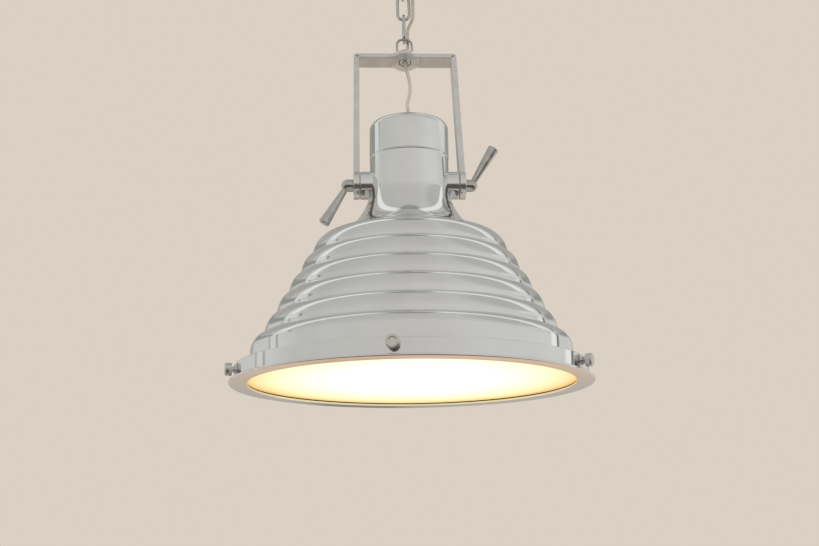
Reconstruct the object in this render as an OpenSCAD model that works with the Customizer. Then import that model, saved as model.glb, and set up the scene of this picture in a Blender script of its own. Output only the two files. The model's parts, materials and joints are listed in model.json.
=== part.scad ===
// Industrial pendant lamp: a ribbed spun shade with a clamped lens ring, tilting in a long yoke
// that hangs from a chain under a ceiling canopy. Millimetres, +Z up, origin on the ceiling plane.

/* [Shade] */
// Outer radius of the plain drum below the ribs
drum_r = 204; // [196:1:215]
// Height of the drum's straight wall
drum_h = 31; // [26:1:45]
// Height of the drum's rounded shoulder
shoulder_h = 18; // [10:1:26]
// Radius of the first rib at its groove
rib_first_r = 126.5; // [110:0.5:140]
// Height of the first rib
rib_first_h = 28; // [24:0.5:36]
// Radius of the last rib at its groove
rib_last_r = 187; // [176:1:192]
// Height of each further rib
rib_h = 26.4; // [20:0.2:34]
// Number of ribs
rib_count = 5; // [3:1:7]
// Thickness of the spun sheet
shade_wall = 1.6; // [1.2:0.1:2.4]

/* [Neck and cap] */
// Outer radius of the neck's cylinder
neck_r = 51.2; // [48:0.2:52]
// Wall of the neck's casting
neck_wall = 3.5; // [3:0.1:4.5]
// Outer radius of the top cap and of the collar under it
cap_r = 52.2; // [51.6:0.2:56]
// Height of the cap above the collar
cap_h = 49; // [40:1:65]
// Rounding of the cap's top edge
cap_round = 10; // [5:0.5:14]
// Wall of the cap
cap_wall = 2; // [1.5:0.1:3]
// Height of the collar's top above the pivot
seam_z = 37; // [34:1:45]
// Height of the neck's trumpet flare
flare_h = 63; // [56:1:72]
// Outer radius of the flare's foot
foot_r = 104; // [96:1:110]
// Width of the foot's seat on the shade
foot_w = 24; // [20:1:28]
// Drop from the pivot to the foot's seat
foot_drop = 72; // [68:1:80]

/* [Lens ring] */
// Gap between the drum and the ring's band
band_gap = 15.6; // [14:0.2:20]
// Wall of the band and thickness of the flange
band_wall = 3; // [2:0.2:4]
// Height of the ring
band_h = 22.6; // [20:0.2:30]
// Reach of the flange beyond the band
flange_out = 7.4; // [4:0.2:12]
// Thickness of the lens
lens_t = 4; // [3:0.5:6]
// Lap of the lens on the flange
lens_lap = 4.5; // [3:0.5:8]
// Thickness of both gaskets
gasket_t = 1.5; // [1:0.1:2.5]

/* [Thumb screws] */
// Turn of the screws round the ring, from the front
screw_turn = -7.6; // [-40:0.1:40]
// Diameter of a thumb screw's thread
screw_d = 6; // [5:0.5:7]
// Diameter of its knob
knob_d = 16; // [13:0.5:18]
// Length of its knob
knob_l = 8.4; // [6:0.2:12]
// Length of the neck between band and knob
knob_neck_l = 3; // [2:0.2:6]
// Depth of the threaded boss inside the band
screw_boss_l = 6.5; // [5:0.5:8]

/* [Yoke] */
// Outer width of the yoke
yoke_w = 147.5; // [144:0.5:170]
// Height from the pivot to the top face of the bar
yoke_h = 246.6; // [220:0.2:300]
// Thickness of the flat bar
bar_t = 8; // [6:0.5:10]
// Width of the flat bar
bar_w = 21; // [16:1:24]
// Rounding of the yoke's outer corners
yoke_round = 4; // [2:0.5:7]
// Diameter of the eyes and of the trunnion barrels
eye_d = 37; // [32:1:40]
// Diameter of the boss in the bar
boss_d = 36; // [34:1:44]
// Fillet between the boss and the bar
boss_fillet = 20; // [10:1:30]

/* [Clamp levers] */
// Diameter of the clamp stud
stud_d = 8; // [6:0.5:10]
// Diameter of a lever's hub
hub_d = 16.4; // [14:0.2:20]
// Length of a lever's hub
hub_l = 15; // [13:0.5:20]
// Length of the handle from the hub's centre
handle_l = 60.5; // [45:0.5:75]
// Handle diameter at the hub
handle_d1 = 7; // [6:0.2:9]
// Handle diameter at the end
handle_d2 = 14.8; // [12:0.2:20]
// Angle between the handle and the stud
handle_angle = 59; // [50:1:80]

/* [Hanging loop and chain] */
// Outer width of the loop
loop_w = 25; // [23:0.5:30]
// Height of the loop above the bar
loop_h = 43.5; // [36:0.5:50]
// Wire of the loop
loop_wire = 3.5; // [3:0.1:4.6]
// Diameter of the loop's conical base
base_d = 30; // [29:0.5:34]
// Height of the base
base_h = 5; // [3:0.5:7]
// Diameter of the base's stem in the boss
stem_d = 14; // [11:0.5:16]
// Wire of the chain and of the ceiling eye
link_wire = 4.5; // [4:0.1:5]
// Outer width of a chain link
link_w = 21.5; // [20:0.5:26]
// Clear length inside a chain link
link_inner = 42; // [36:1:60]
// Slack between hanging wires
hang_gap = 0.15; // [0.1:0.05:0.4]

/* [Ceiling canopy] */
// Diameter of the canopy's flange
canopy_d = 110; // [100:1:140]
// Diameter of the canopy's dome
dome_d = 68; // [66:1:80]
// Height of the canopy
canopy_h = 24; // [24:1:40]
// Sheet of the canopy
canopy_wall = 2; // [1.5:0.1:3]
// Diameter of the ceiling screw holes
screw_hole_d = 5; // [4:0.1:6]
// Diameter of the eye bolt
eye_bolt_d = 6; // [5:0.5:8]
// Length of the eye bolt below the canopy
eye_stem = 22; // [15:1:40]
// Distance of the cord's grommet from the eye bolt
grommet_x = 18; // [16.5:0.5:18.5]

/* [Cord] */
// Diameter of the cord
cord_d = 4.5; // [4:0.1:5]
// Bore for the cord through the loop and the boss
cord_bore = 7.4; // [6.5:0.1:9]

/* [Holder and bulb] */
// Radius of the porcelain holder
holder_r = 20; // [18:0.5:24]
// Length of the holder below its bridge
holder_l = 52; // [46:1:60]
// Radius of the bulb's glass
bulb_r = 30; // [25:1:36]
// Length of the bulb's glass
bulb_l = 88; // [75:1:110]
// Radius of the screw cap
bulb_cap_r = 13.2; // [13:0.1:14]

/* [Pose] */
// Angle between the yoke and the head
tilt = 24.5; // [16:0.5:30]
// Lean of the yoke at which the lamp hangs in balance
yoke_lean = 7.95; // [4:0.05:14]

/* [Hidden] */
$fn = 96;
fit = 0.05;
seat = 0.2;
sink = 0.6;
arc_steps = 10;
flare_steps = 16;
flare_power = 0.8;

// Suspension: each wire hangs on the one above it
wire_drop = link_wire + hang_gap;
link_line_r = (link_w - link_wire) / 2;
link_line_l = link_inner + link_wire;
link_straight = link_line_l - 2 * link_line_r;
eye_line_r = link_line_r;
eye_z = -canopy_h - eye_stem - eye_line_r;
hang_1_z = eye_z - eye_line_r;
link_1_z = hang_1_z + wire_drop - link_line_l / 2;
hang_2_z = hang_1_z + wire_drop - link_line_l;
link_2_z = hang_2_z + wire_drop - link_line_l / 2;
hang_3_z = hang_2_z + wire_drop - link_line_l;
loop_top_z = hang_3_z + (link_wire + loop_wire) / 2 + hang_gap;
loop_line_r = (loop_w - loop_wire) / 2;
loop_line_h = loop_h - loop_wire / 2;

// Pivot of the head, below the loop along the leaning yoke
hang_l = yoke_h + loop_line_h;
pivot = [0, -hang_l * sin(yoke_lean), loop_top_z - hang_l * cos(yoke_lean)];
head_lean = tilt - yoke_lean;

// Yoke and its joints
eye_in = yoke_w / 2 - bar_t;
washer_t = 1.2;
trunnion_end = eye_in - washer_t;
bush_d = stud_d + 4;
stud_depth = 12;
handle_bevel = 1.5;
stud_bore_depth = stud_depth + 3;
stem_l = bar_t - 3;

// Head heights, from the pivot
collar_h = 1.2;
cap_top = seam_z + cap_h;
spigot_h = 16;
spigot_r = cap_r - cap_wall - seat;
neck_in = neck_r - neck_wall;
crest_z = -foot_drop;
foot_edge = 1;
flare_z = crest_z + foot_edge + flare_h;
foot_in = foot_r - foot_w;
shade_hole_r = foot_in - 4;
shade_screw_r = foot_in + 3.6;
shade_screw_d = 4;
shade_screw_l = 3.8;
shade_screw_count = 4;
rib_first_z = crest_z - rib_first_h;
rib_end_r = min(rib_last_r, drum_r - 10);
rib_step_r = (rib_end_r - rib_first_r) / (rib_count - 1);
rib_last_z = rib_first_z - (rib_count - 1) * rib_h;
drum_z = rib_last_z - shoulder_h;
rim_z = drum_z - drum_h;

// Lens ring
band_in = drum_r + band_gap;
band_out = band_in + band_wall;
lens_r = band_in - screw_boss_l - 1;
lens_top = rim_z - seat - gasket_t;
flange_top = lens_top - lens_t - gasket_t;
ring_z = flange_top - band_wall;
lens_open_r = lens_r - lens_lap;
rim_gasket_w = 4;
screw_boss_d = screw_d + 6;
screw_edge = 1.2;
screw_z = max(ring_z + band_h - screw_boss_d / 2 - screw_edge, lens_top + screw_d / 2 + seat);
screw_count = 5;
tip_gap = 0.3;

// Holder, hung from lugs in the neck
lug_d = 12;
lug_r = neck_in - 5.5;
lug_h = 14;
bridge_z = seam_z - 3;
bridge_t = 2.5;
bridge_w = 16;
bridge_screw_d = 3.5;
bridge_screw_l = 8;
holder_stub_r = 9;
holder_stub_h = 6;
holder_z = bridge_z - holder_l;
shell_t = 0.8;
shell_r = bulb_cap_r + seat + shell_t;
cavity_h = 38;
cavity_top = holder_z + cavity_h;
contact_r = 4;
contact_h = 3;
bulb_tip_r = 3;
bulb_tip_h = 2.6;
bulb_cap_top = cavity_top - contact_h - seat - bulb_tip_h;
bulb_wall = 1.2;
bulb_steps = 18;

// Grommets
cap_grommet_r = cord_d / 2 + 3;
grommet_r = cord_d / 2 + 2.5;
grommet_lip = 1.5;

// Canopy
canopy_pcd = (canopy_d + dome_d) / 2;
canopy_screws = 3;
plate_top = -canopy_h + canopy_wall;
nut_h = 5;
nut_d = 2 * eye_bolt_d;
eye_collar_r = eye_bolt_d / 2 + 4;
eye_collar_h = 3;
block_l = 18;
block_w = 10;
block_h = 17;
block_y = 11;
block_x = grommet_x - 14;
tail_z = plate_top + 13.5;

// Cord: clear of the upper link by its side, then beside the lower link and behind the loop's top
cord_side = link_w / 2 + cord_d / 2 + 1.25;
cord_in = (link_wire + cord_d) / 2 + 0.9;
cord_back = (loop_wire + cord_d) / 2 + 0.8;
tail_r = 10;
function on_yoke(h) = pivot + h * [0, sin(yoke_lean), cos(yoke_lean)];
function on_head(h) = pivot + h * [0, -sin(head_lean), cos(head_lean)];

// A double bend that leaves one point and meets another in the same direction
function ease(t) = t < 0.5 ? 2 * t * t : 1 - 2 * (1 - t) * (1 - t);
function double_bend(a, b, steps) = [
    for (i = [0:steps])
        let (t = i / steps, d = b - a)
            a + [d[0] * ease(t), d[1] * ease(t), d[2] * t]
];

cord_top_route = concat(
    [[grommet_x, block_y, tail_z]],
    [
        for (a = [90:-22.5:0])
            [grommet_x, tail_r * (1 - cos(a)), tail_z - tail_r * (1 - sin(a))]
    ],
    [[grommet_x, 0, tail_z - tail_r - 1.8]],
    double_bend([grommet_x, 0, -canopy_h - 5], [cord_side, 0, hang_2_z + 27], 5),
    [[cord_side, 0, hang_2_z + 17]]
);
cord_mid_route = concat(
    [[cord_side, 0, hang_2_z + 17]],
    double_bend([cord_side, 0, hang_2_z + 10], [cord_in, cord_back, hang_2_z - 22], 8),
    [[cord_in, cord_back, hang_2_z - 26]]
);
cord_low_route = concat(
    [[cord_in, cord_back, hang_2_z - 26]],
    double_bend([cord_in, cord_back, loop_top_z - 4], on_yoke(yoke_h + 1), 8),
    [on_yoke(yoke_h - 4)]
);

// The slack drop from the boss to the cap: share of the way, sideways and backwards
cord_wave = [
    [0, 1, 0], [0.12, 3.2, 3.5], [0.25, 4.8, 5.6], [0.39, 5.2, 6.2], [0.52, 4.4, 5.8],
    [0.65, 2.4, 4.5], [0.77, 0.2, 2.8], [0.88, -1, 1.8], [0.97, -0.6, 1.6]
];
drop_start = on_yoke(yoke_h - 20);
drop_end = on_head(cap_top + 20);
cord_drop_route = concat(
    [on_yoke(yoke_h - 4), on_yoke(yoke_h - 10)],
    [for (w = cord_wave) drop_start + w[0] * (drop_end - drop_start) + [w[1], w[2], 0]],
    [on_head(cap_top + 11), on_head(cap_top + 2 * grommet_lip)]
);
cord_sides = 10;

// Placement of the yoke, the head and what turns on them
module place_yoke() {
    translate(pivot) rotate([-yoke_lean, 0, 0]) children();
}

module place_head() {
    translate(pivot) rotate([head_lean, 0, 0]) children();
}

// A radial axis through the band, outwards along +X
module place_screw(index) {
    place_head()
        translate([0, 0, screw_z])
            rotate([0, 0, screw_turn - 90 + index * 360 / screw_count])
                children();
}

// The lever on one side: +X runs outwards from the yoke's face
module place_lever(side) {
    place_head()
        rotate([0, side < 0 ? 180 : 0, 0])
            translate([yoke_w / 2, 0, 0])
                children();
}

// A cylinder along +X
module rod_x(d, x0, x1) {
    translate([x0, 0, 0]) rotate([0, 90, 0]) cylinder(d = d, h = x1 - x0);
}

// A flat ring or disc, z0 to z1
module ring(r_in, r_out, z0, z1) {
    translate([0, 0, z0])
        rotate_extrude()
            translate([r_in, 0])
                square([r_out - r_in, z1 - z0]);
}

// Points of a quarter-round step, from its flat top to its upright side
function step_arc(r0, z0, r1, z1) = [
    for (i = [1:arc_steps])
        let (t = 90 * i / arc_steps)
            [r0 + (r1 - r0) * sin(t), z1 + (z0 - z1) * cos(t)]
];

// Points of a hollow flare, from its upright top to its flat foot
function flare_arc(r0, z0, r1, z1) = [
    for (i = [0:flare_steps])
        let (t = 90 * i / flare_steps)
            [r0 + (r1 - r0) * pow(1 - cos(t), flare_power), z0 - (z0 - z1) * sin(t)]
];

function reversed(list) = [for (i = [len(list) - 1:-1:0]) list[i]];

// One skin of the shade: ribs, shoulder and drum, moved in and down by a thickness
function shade_skin(t) = concat(
    [[foot_r - t, crest_z - t]],
    step_arc(foot_r - t, crest_z - t, rib_first_r - t, rib_first_z - t),
    [
        for (i = [1:rib_count - 1])
            let (r = rib_first_r + (i - 1) * rib_step_r - t, z = rib_first_z - (i - 1) * rib_h - t)
                for (p = step_arc(r, z, r + rib_step_r, z - rib_h)) p
    ],
    step_arc(rib_end_r - t, rib_last_z - t, drum_r - t, drum_z - t),
    [[drum_r - t, rim_z]]
);

// A tube swept along a route: rings of points square to the route, with flat ends
function unit(v) = v / norm(v);
function route_dir(p, i) = unit(p[min(i + 1, len(p) - 1)] - p[max(i - 1, 0)]);
function ring_at(p, i, r) =
    let (t = route_dir(p, i), u = unit(cross([1, 0, 0], t)), v = cross(t, u))
        [
            for (k = [0:cord_sides - 1])
                let (a = 360 * k / cord_sides)
                    p[i] + r * (cos(a) * u + sin(a) * v)
        ];

module cord_tube(route) {
    rings = len(route);
    n = cord_sides;
    points = [for (i = [0:rings - 1]) each ring_at(route, i, cord_d / 2)];
    walls = [
        for (i = [0:rings - 2], k = [0:n - 1])
            let (a = i * n + k, b = i * n + (k + 1) % n)
                each [[a, a + n, b + n], [a, b + n, b]]
    ];
    first_end = [for (k = [0:n - 1]) k];
    last_end = [for (k = [n - 1:-1:0]) (rings - 1) * n + k];
    color("gainsboro") polyhedron(points, concat(walls, [first_end, last_end]));
}

// Half of a wire ring in the XZ plane, bulging along +Z
module wire_bend(line_r, wire) {
    rotate([90, 0, 0])
        rotate_extrude(angle = 180)
            translate([line_r, 0])
                circle(d = wire);
}

// Ceiling fitting
module ceiling_canopy() {
    dome_r = dome_d / 2;
    color("silver") difference() {
        union() {
            ring(dome_r - canopy_wall, canopy_d / 2, -canopy_wall, 0);
            ring(dome_r - canopy_wall, dome_r, -canopy_h, 0);
            ring(0, dome_r, -canopy_h, plate_top);
        }
        translate([0, 0, -canopy_h - 1]) cylinder(d = eye_bolt_d + 2 * fit, h = canopy_h);
        translate([grommet_x, 0, -canopy_h - 1]) cylinder(r = grommet_r + fit, h = canopy_wall + 2);
        for (i = [0:canopy_screws - 1])
            rotate([0, 0, 90 + i * 360 / canopy_screws])
                translate([canopy_pcd / 2, 0, -canopy_wall - 1])
                    cylinder(d = screw_hole_d, h = canopy_wall + 2);
    }
}

module canopy_eye() {
    stem_top = eye_stem + canopy_wall + nut_h + 2;
    color("silver") {
        translate([0, 0, eye_z])
            rotate([0, 90, 0])
                rotate_extrude()
                    translate([eye_line_r, 0])
                        circle(d = link_wire);
        translate([0, 0, eye_z + eye_line_r]) cylinder(d = eye_bolt_d, h = stem_top);
        translate([0, 0, -canopy_h - eye_collar_h]) cylinder(r = eye_collar_r, h = eye_collar_h);
    }
}

module eye_nut() {
    color("gray") translate([0, 0, plate_top]) difference() {
        cylinder(d = nut_d, h = nut_h, $fn = 6);
        translate([0, 0, -1]) cylinder(d = eye_bolt_d + 2 * fit, h = nut_h + 2);
    }
}

module canopy_grommet() {
    color("dimgray") translate([grommet_x, 0, -canopy_h]) {
        ring(cord_d / 2 + fit, grommet_r, 0, canopy_wall);
        ring(cord_d / 2 + fit, grommet_r + grommet_lip, -grommet_lip, 0);
        ring(cord_d / 2 + fit, grommet_r + grommet_lip, canopy_wall, canopy_wall + grommet_lip);
    }
}

module terminal_block() {
    hole_d = 4;
    color("ivory") translate([block_x, block_y, plate_top]) difference() {
        cube([block_l, block_w, block_h]);
        for (x = [block_l / 4, block_l * 3 / 4])
            translate([x, block_w / 2, block_h - 5]) cylinder(d = hole_d, h = block_h);
    }
}

// Chain
module chain_link() {
    for (turn = [0, 180])
        rotate([0, turn, 0]) {
            translate([0, 0, link_straight / 2]) wire_bend(link_line_r, link_wire);
            translate([link_line_r, 0, -link_straight / 2]) cylinder(d = link_wire, h = link_straight);
        }
}

module chain_link_upper() {
    color("silver") translate([0, 0, link_1_z]) chain_link();
}

module chain_link_lower() {
    color("silver") translate([0, 0, link_2_z]) rotate([0, 0, 90]) chain_link();
}

// Yoke
module boss_outline() {
    side = bar_w / 2;
    reach = sqrt(pow(boss_d / 2 + boss_fillet, 2) - pow(side + boss_fillet, 2));
    circle(d = boss_d);
    for (sx = [-1, 1], sy = [-1, 1])
        difference() {
            polygon([[0, 0], [sx * reach, 0], [sx * reach, sy * (side + boss_fillet)]]);
            translate([sx * reach, sy * (side + boss_fillet)]) circle(r = boss_fillet);
        }
}

module yoke_outline() {
    half = yoke_w / 2;
    difference() {
        union() {
            translate([-half, 0]) square([yoke_w, yoke_h - yoke_round]);
            translate([-half + yoke_round, 0]) square([yoke_w - 2 * yoke_round, yoke_h]);
            for (s = [-1, 1])
                translate([s * (half - yoke_round), yoke_h - yoke_round])
                    circle(r = yoke_round);
        }
        translate([-eye_in, -1]) square([2 * eye_in, yoke_h - bar_t + 1]);
    }
}

module yoke() {
    color("silver") place_yoke() difference() {
        union() {
            translate([0, bar_w / 2, 0]) rotate([90, 0, 0]) linear_extrude(bar_w) yoke_outline();
            translate([0, 0, yoke_h - bar_t]) linear_extrude(bar_t) boss_outline();
            rod_x(eye_d, -yoke_w / 2, -eye_in);
            rod_x(eye_d, eye_in, yoke_w / 2);
        }
        rod_x(bush_d + 2 * fit, -yoke_w, yoke_w);
        translate([0, 0, yoke_h - stem_l]) cylinder(d = stem_d + 2 * fit, h = stem_l + 1);
        translate([0, 0, yoke_h - bar_t - 1]) cylinder(d = cord_bore, h = bar_t + 2);
    }
}

module hanging_loop() {
    color("silver") place_yoke() translate([0, 0, yoke_h]) difference() {
        union() {
            translate([0, 0, loop_line_h - loop_line_r]) wire_bend(loop_line_r, loop_wire);
            for (s = [-1, 1])
                translate([s * loop_line_r, 0, sink])
                    cylinder(d = loop_wire, h = loop_line_h - loop_line_r - sink);
            cylinder(d1 = base_d, d2 = base_d - 2, h = base_h);
            translate([0, 0, -stem_l]) cylinder(d = stem_d, h = stem_l + sink);
        }
        translate([0, 0, -stem_l - 1]) cylinder(d = cord_bore, h = stem_l + base_h + 2);
    }
}

module pivot_bush(side) {
    color("darkgoldenrod") place_yoke() rotate([0, side < 0 ? 180 : 0, 0]) difference() {
        rod_x(bush_d, eye_in, yoke_w / 2);
        rod_x(stud_d + 2 * fit, eye_in - 1, yoke_w / 2 + 1);
    }
}

module pivot_bush_left() {
    pivot_bush(-1);
}

module pivot_bush_right() {
    pivot_bush(1);
}

// Head: neck, cap and what they hold
module neck() {
    outer = concat(
        [[0, seam_z + spigot_h], [spigot_r, seam_z + spigot_h], [spigot_r, seam_z], [cap_r, seam_z]],
        [[cap_r, seam_z - collar_h], [neck_r, seam_z - collar_h - (cap_r - neck_r)]],
        flare_arc(neck_r, flare_z, foot_r, crest_z + foot_edge),
        [[foot_r, crest_z], [0, crest_z]]
    );
    bore = concat(
        [[0, seam_z + spigot_h + 1], [neck_in, seam_z + spigot_h + 1]],
        flare_arc(neck_in, flare_z, foot_in, crest_z - 1),
        [[0, crest_z - 1]]
    );
    color("lightgray") place_head() difference() {
        union() {
            difference() {
                union() {
                    rotate_extrude() polygon(outer);
                    rod_x(eye_d, -trunnion_end, trunnion_end);
                }
                rotate_extrude() polygon(bore);
            }
            for (s = [-1, 1])
                translate([0, s * lug_r, bridge_z - lug_h]) cylinder(d = lug_d, h = lug_h);
        }
        for (s = [-1, 1]) {
            rotate([0, s < 0 ? 180 : 0, 0])
                rod_x(stud_d + 2 * fit, trunnion_end - stud_bore_depth, trunnion_end + 1);
            translate([0, s * lug_r, bridge_z - bridge_screw_l - 1])
                cylinder(d = bridge_screw_d + 2 * fit, h = bridge_screw_l + 2);
        }
        for (i = [0:shade_screw_count - 1])
            rotate([0, 0, 45 + i * 360 / shade_screw_count])
                translate([shade_screw_r, 0, crest_z - 1])
                    cylinder(d = shade_screw_d + 2 * fit, h = shade_screw_l + 1.2);
    }
}

module top_cap() {
    hole_r = cap_grommet_r + fit;
    color("lightgray") place_head() rotate_extrude() difference() {
        union() {
            translate([0, seam_z]) square([cap_r, cap_h - cap_round]);
            translate([0, seam_z]) square([cap_r - cap_round, cap_h]);
            translate([cap_r - cap_round, cap_top - cap_round]) circle(r = cap_round);
        }
        translate([-1, seam_z - 1]) square([cap_r - cap_wall + 1, cap_h - cap_round + 1]);
        translate([-1, seam_z - 1]) square([cap_r - cap_round + 1, cap_h - cap_wall + 1]);
        translate([cap_r - cap_round, cap_top - cap_round]) circle(r = cap_round - cap_wall);
        translate([-cap_r, seam_z - 1]) square([cap_r + hole_r, cap_h + 2]);
    }
}

module cap_grommet() {
    bore = cord_d / 2 + fit;
    color("dimgray") place_head() translate([0, 0, cap_top]) {
        ring(bore, cap_grommet_r, -cap_wall, 0);
        ring(bore, cap_grommet_r + grommet_lip, 0, 2 * grommet_lip);
        ring(bore, cap_grommet_r + grommet_lip, -cap_wall - grommet_lip, -cap_wall);
    }
}

module supply_lead() {
    start = bridge_z + bridge_t + holder_stub_h;
    end = cap_top + 2 * grommet_lip;
    color("gainsboro") place_head() translate([0, 0, start]) cylinder(d = cord_d, h = end - start);
}

module pivot_washer(side) {
    color("gray") place_head() rotate([0, side < 0 ? 180 : 0, 0]) difference() {
        rod_x(eye_d - 2, trunnion_end, eye_in - seat);
        rod_x(stud_d + 2 * fit, trunnion_end - 1, eye_in + 1);
    }
}

module pivot_washer_left() {
    pivot_washer(-1);
}

module pivot_washer_right() {
    pivot_washer(1);
}

module holder_bridge() {
    bridge_half = lug_r + 4;
    color("silver") place_head() translate([0, 0, bridge_z]) difference() {
        union() {
            cylinder(r = holder_r, h = bridge_t);
            translate([-bridge_w / 2, -bridge_half, 0]) cube([bridge_w, 2 * bridge_half, bridge_t]);
        }
        translate([0, 0, -1]) cylinder(r = holder_stub_r + fit, h = bridge_t + 2);
        for (s = [-1, 1])
            translate([0, s * lug_r, -1]) cylinder(d = bridge_screw_d + 2 * fit, h = bridge_t + 2);
    }
}

module holder_screws() {
    shank = bridge_screw_l + bridge_t + sink;
    color("gray") place_head()
        for (s = [-1, 1])
            translate([0, s * lug_r, bridge_z]) {
                translate([0, 0, -bridge_screw_l]) cylinder(d = bridge_screw_d, h = shank);
                translate([0, 0, bridge_t]) cylinder(d = 2 * bridge_screw_d, h = bridge_screw_d / 2 + sink);
            }
}

module lamp_holder() {
    color("white") place_head() difference() {
        union() {
            translate([0, 0, holder_z]) cylinder(r = holder_r, h = holder_l);
            translate([0, 0, bridge_z - sink])
                cylinder(r = holder_stub_r, h = bridge_t + holder_stub_h + sink);
        }
        translate([0, 0, holder_z - 1]) cylinder(r = shell_r + 2 * fit, h = cavity_h + 1);
    }
}

module holder_shell() {
    color("goldenrod") place_head() {
        ring(shell_r - shell_t, shell_r, holder_z + 2, cavity_top);
        ring(contact_r + 2, shell_r, cavity_top - shell_t, cavity_top);
    }
}

module centre_contact() {
    color("goldenrod") place_head() ring(0, contact_r, cavity_top - contact_h, cavity_top);
}

module ribbed_shade() {
    profile = concat(
        [[shade_hole_r, crest_z]],
        shade_skin(0),
        reversed(shade_skin(shade_wall)),
        [[shade_hole_r, crest_z - shade_wall]]
    );
    color("lightgray") place_head() difference() {
        rotate_extrude() polygon(profile);
        for (i = [0:shade_screw_count - 1])
            rotate([0, 0, 45 + i * 360 / shade_screw_count])
                translate([shade_screw_r, 0, crest_z - shade_wall - 1])
                    cylinder(d = shade_screw_d + 2 * fit, h = shade_wall + 2);
    }
}

module shade_screws() {
    color("gray") place_head()
        for (i = [0:shade_screw_count - 1])
            rotate([0, 0, 45 + i * 360 / shade_screw_count])
                translate([shade_screw_r, 0, crest_z - shade_wall]) {
                    translate([0, 0, -shade_screw_d / 2])
                        cylinder(d = 1.8 * shade_screw_d, h = shade_screw_d / 2);
                    translate([0, 0, -sink])
                        cylinder(d = shade_screw_d, h = sink + shade_wall + shade_screw_l);
                }
}

// Bulb
function bulb_line(t) =
    let (belly_z = holder_z - bulb_l + bulb_r)
        concat(
            [[bulb_cap_r - t, holder_z], [bulb_cap_r + 1 - t, holder_z - 8]],
            [
                for (i = [0:bulb_steps])
                    let (a = 48 - 138 * i / bulb_steps, r = bulb_r - t)
                        [max(0, r * cos(a)), belly_z + r * sin(a)]
            ]
        );

module bulb_glass() {
    skins = concat(bulb_line(0), reversed(bulb_line(bulb_wall)));
    color("white") place_head() rotate_extrude() polygon(skins);
}

module bulb_cap() {
    color("silver") place_head() {
        ring(0, bulb_cap_r, holder_z, bulb_cap_top);
        ring(0, bulb_tip_r, bulb_cap_top - sink, bulb_cap_top + bulb_tip_h);
    }
}

// Lens ring
module lens_ring() {
    edge = band_wall / 2;
    flange_r = band_out + flange_out;
    color("lightgray") difference() {
        union() {
            place_head() {
                ring(lens_open_r, flange_r - edge, ring_z, flange_top);
                translate([0, 0, ring_z + edge])
                    rotate_extrude()
                        translate([flange_r - edge, 0])
                            circle(r = edge);
                ring(band_in, band_out, ring_z + sink, ring_z + band_h);
            }
            for (i = [0:screw_count - 1])
                place_screw(i) rod_x(screw_boss_d, band_in - screw_boss_l, band_out + 1);
        }
        for (i = [0:screw_count - 1])
            place_screw(i) rod_x(screw_d + 2 * fit, drum_r - 1, band_out + 2);
    }
}

module lens() {
    color("lightyellow") place_head() ring(0, lens_r, lens_top - lens_t, lens_top);
}

module lens_gasket() {
    color("dimgray") place_head() ring(lens_open_r + 1, lens_r, flange_top, flange_top + gasket_t);
}

module rim_gasket() {
    color("dimgray") place_head() ring(drum_r - rim_gasket_w, drum_r, lens_top, lens_top + gasket_t);
}

module thumb_screw(index) {
    start = band_out + 1 + seat;
    neck_end = start + knob_neck_l;
    bevel = 1.2;
    color("silver") place_screw(index) {
        rod_x(screw_d, drum_r + tip_gap, neck_end + sink);
        rod_x(screw_d + 3, start, start + 1);
        translate([neck_end, 0, 0]) rotate([0, 90, 0]) rotate_extrude() polygon([
            [0, 0], [knob_d / 2 - bevel, 0], [knob_d / 2, bevel], [knob_d / 2, knob_l - bevel],
            [knob_d / 2 - bevel, knob_l], [0, knob_l]
        ]);
    }
}

module thumb_screw_1() {
    thumb_screw(0);
}

module thumb_screw_2() {
    thumb_screw(1);
}

module thumb_screw_3() {
    thumb_screw(2);
}

module thumb_screw_4() {
    thumb_screw(3);
}

module thumb_screw_5() {
    thumb_screw(4);
}

// Clamp levers: the handle leaves the hub outwards and up, seen from the right
module clamp_lever(side) {
    hub_mid = hub_l / 2 + seat;
    color("silver") place_lever(side) difference() {
        union() {
            rod_x(hub_d, seat, hub_mid);
            translate([hub_mid, 0, 0]) rotate([0, 90, 0]) sphere(d = hub_d);
            translate([hub_mid, 0, 0]) rotate([0, 90 - handle_angle, 0]) rotate_extrude() polygon([
                [0, 0], [handle_d1 / 2, 0], [handle_d2 / 2, handle_l - handle_bevel],
                [handle_d2 / 2 - handle_bevel, handle_l], [0, handle_l]
            ]);
        }
        rod_x(stud_d + 2 * fit, -1, hub_mid);
    }
}

module clamp_lever_left() {
    clamp_lever(-1);
}

module clamp_lever_right() {
    clamp_lever(1);
}

module clamp_stud(side) {
    hub_mid = hub_l / 2 + seat;
    color("gray") place_lever(side) rod_x(stud_d, -bar_t - washer_t - stud_depth, hub_mid - seat);
}

module clamp_stud_left() {
    clamp_stud(-1);
}

module clamp_stud_right() {
    clamp_stud(1);
}

// Cord, in stretches between the pieces that it passes
module cord_top() {
    cord_tube(cord_top_route);
}

module cord_mid() {
    cord_tube(cord_mid_route);
}

module cord_low() {
    cord_tube(cord_low_route);
}

module cord_drop() {
    cord_tube(cord_drop_route);
}

ceiling_canopy();
canopy_eye();
eye_nut();
canopy_grommet();
terminal_block();
chain_link_upper();
chain_link_lower();
yoke();
hanging_loop();
pivot_bush_left();
pivot_bush_right();
neck();
top_cap();
cap_grommet();
supply_lead();
pivot_washer_left();
pivot_washer_right();
holder_bridge();
holder_screws();
lamp_holder();
holder_shell();
centre_contact();
ribbed_shade();
shade_screws();
bulb_glass();
bulb_cap();
lens_ring();
lens();
lens_gasket();
rim_gasket();
thumb_screw_1();
thumb_screw_2();
thumb_screw_3();
thumb_screw_4();
thumb_screw_5();
clamp_lever_left();
clamp_lever_right();
clamp_stud_left();
clamp_stud_right();
cord_top();
cord_mid();
cord_low();
cord_drop();
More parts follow.
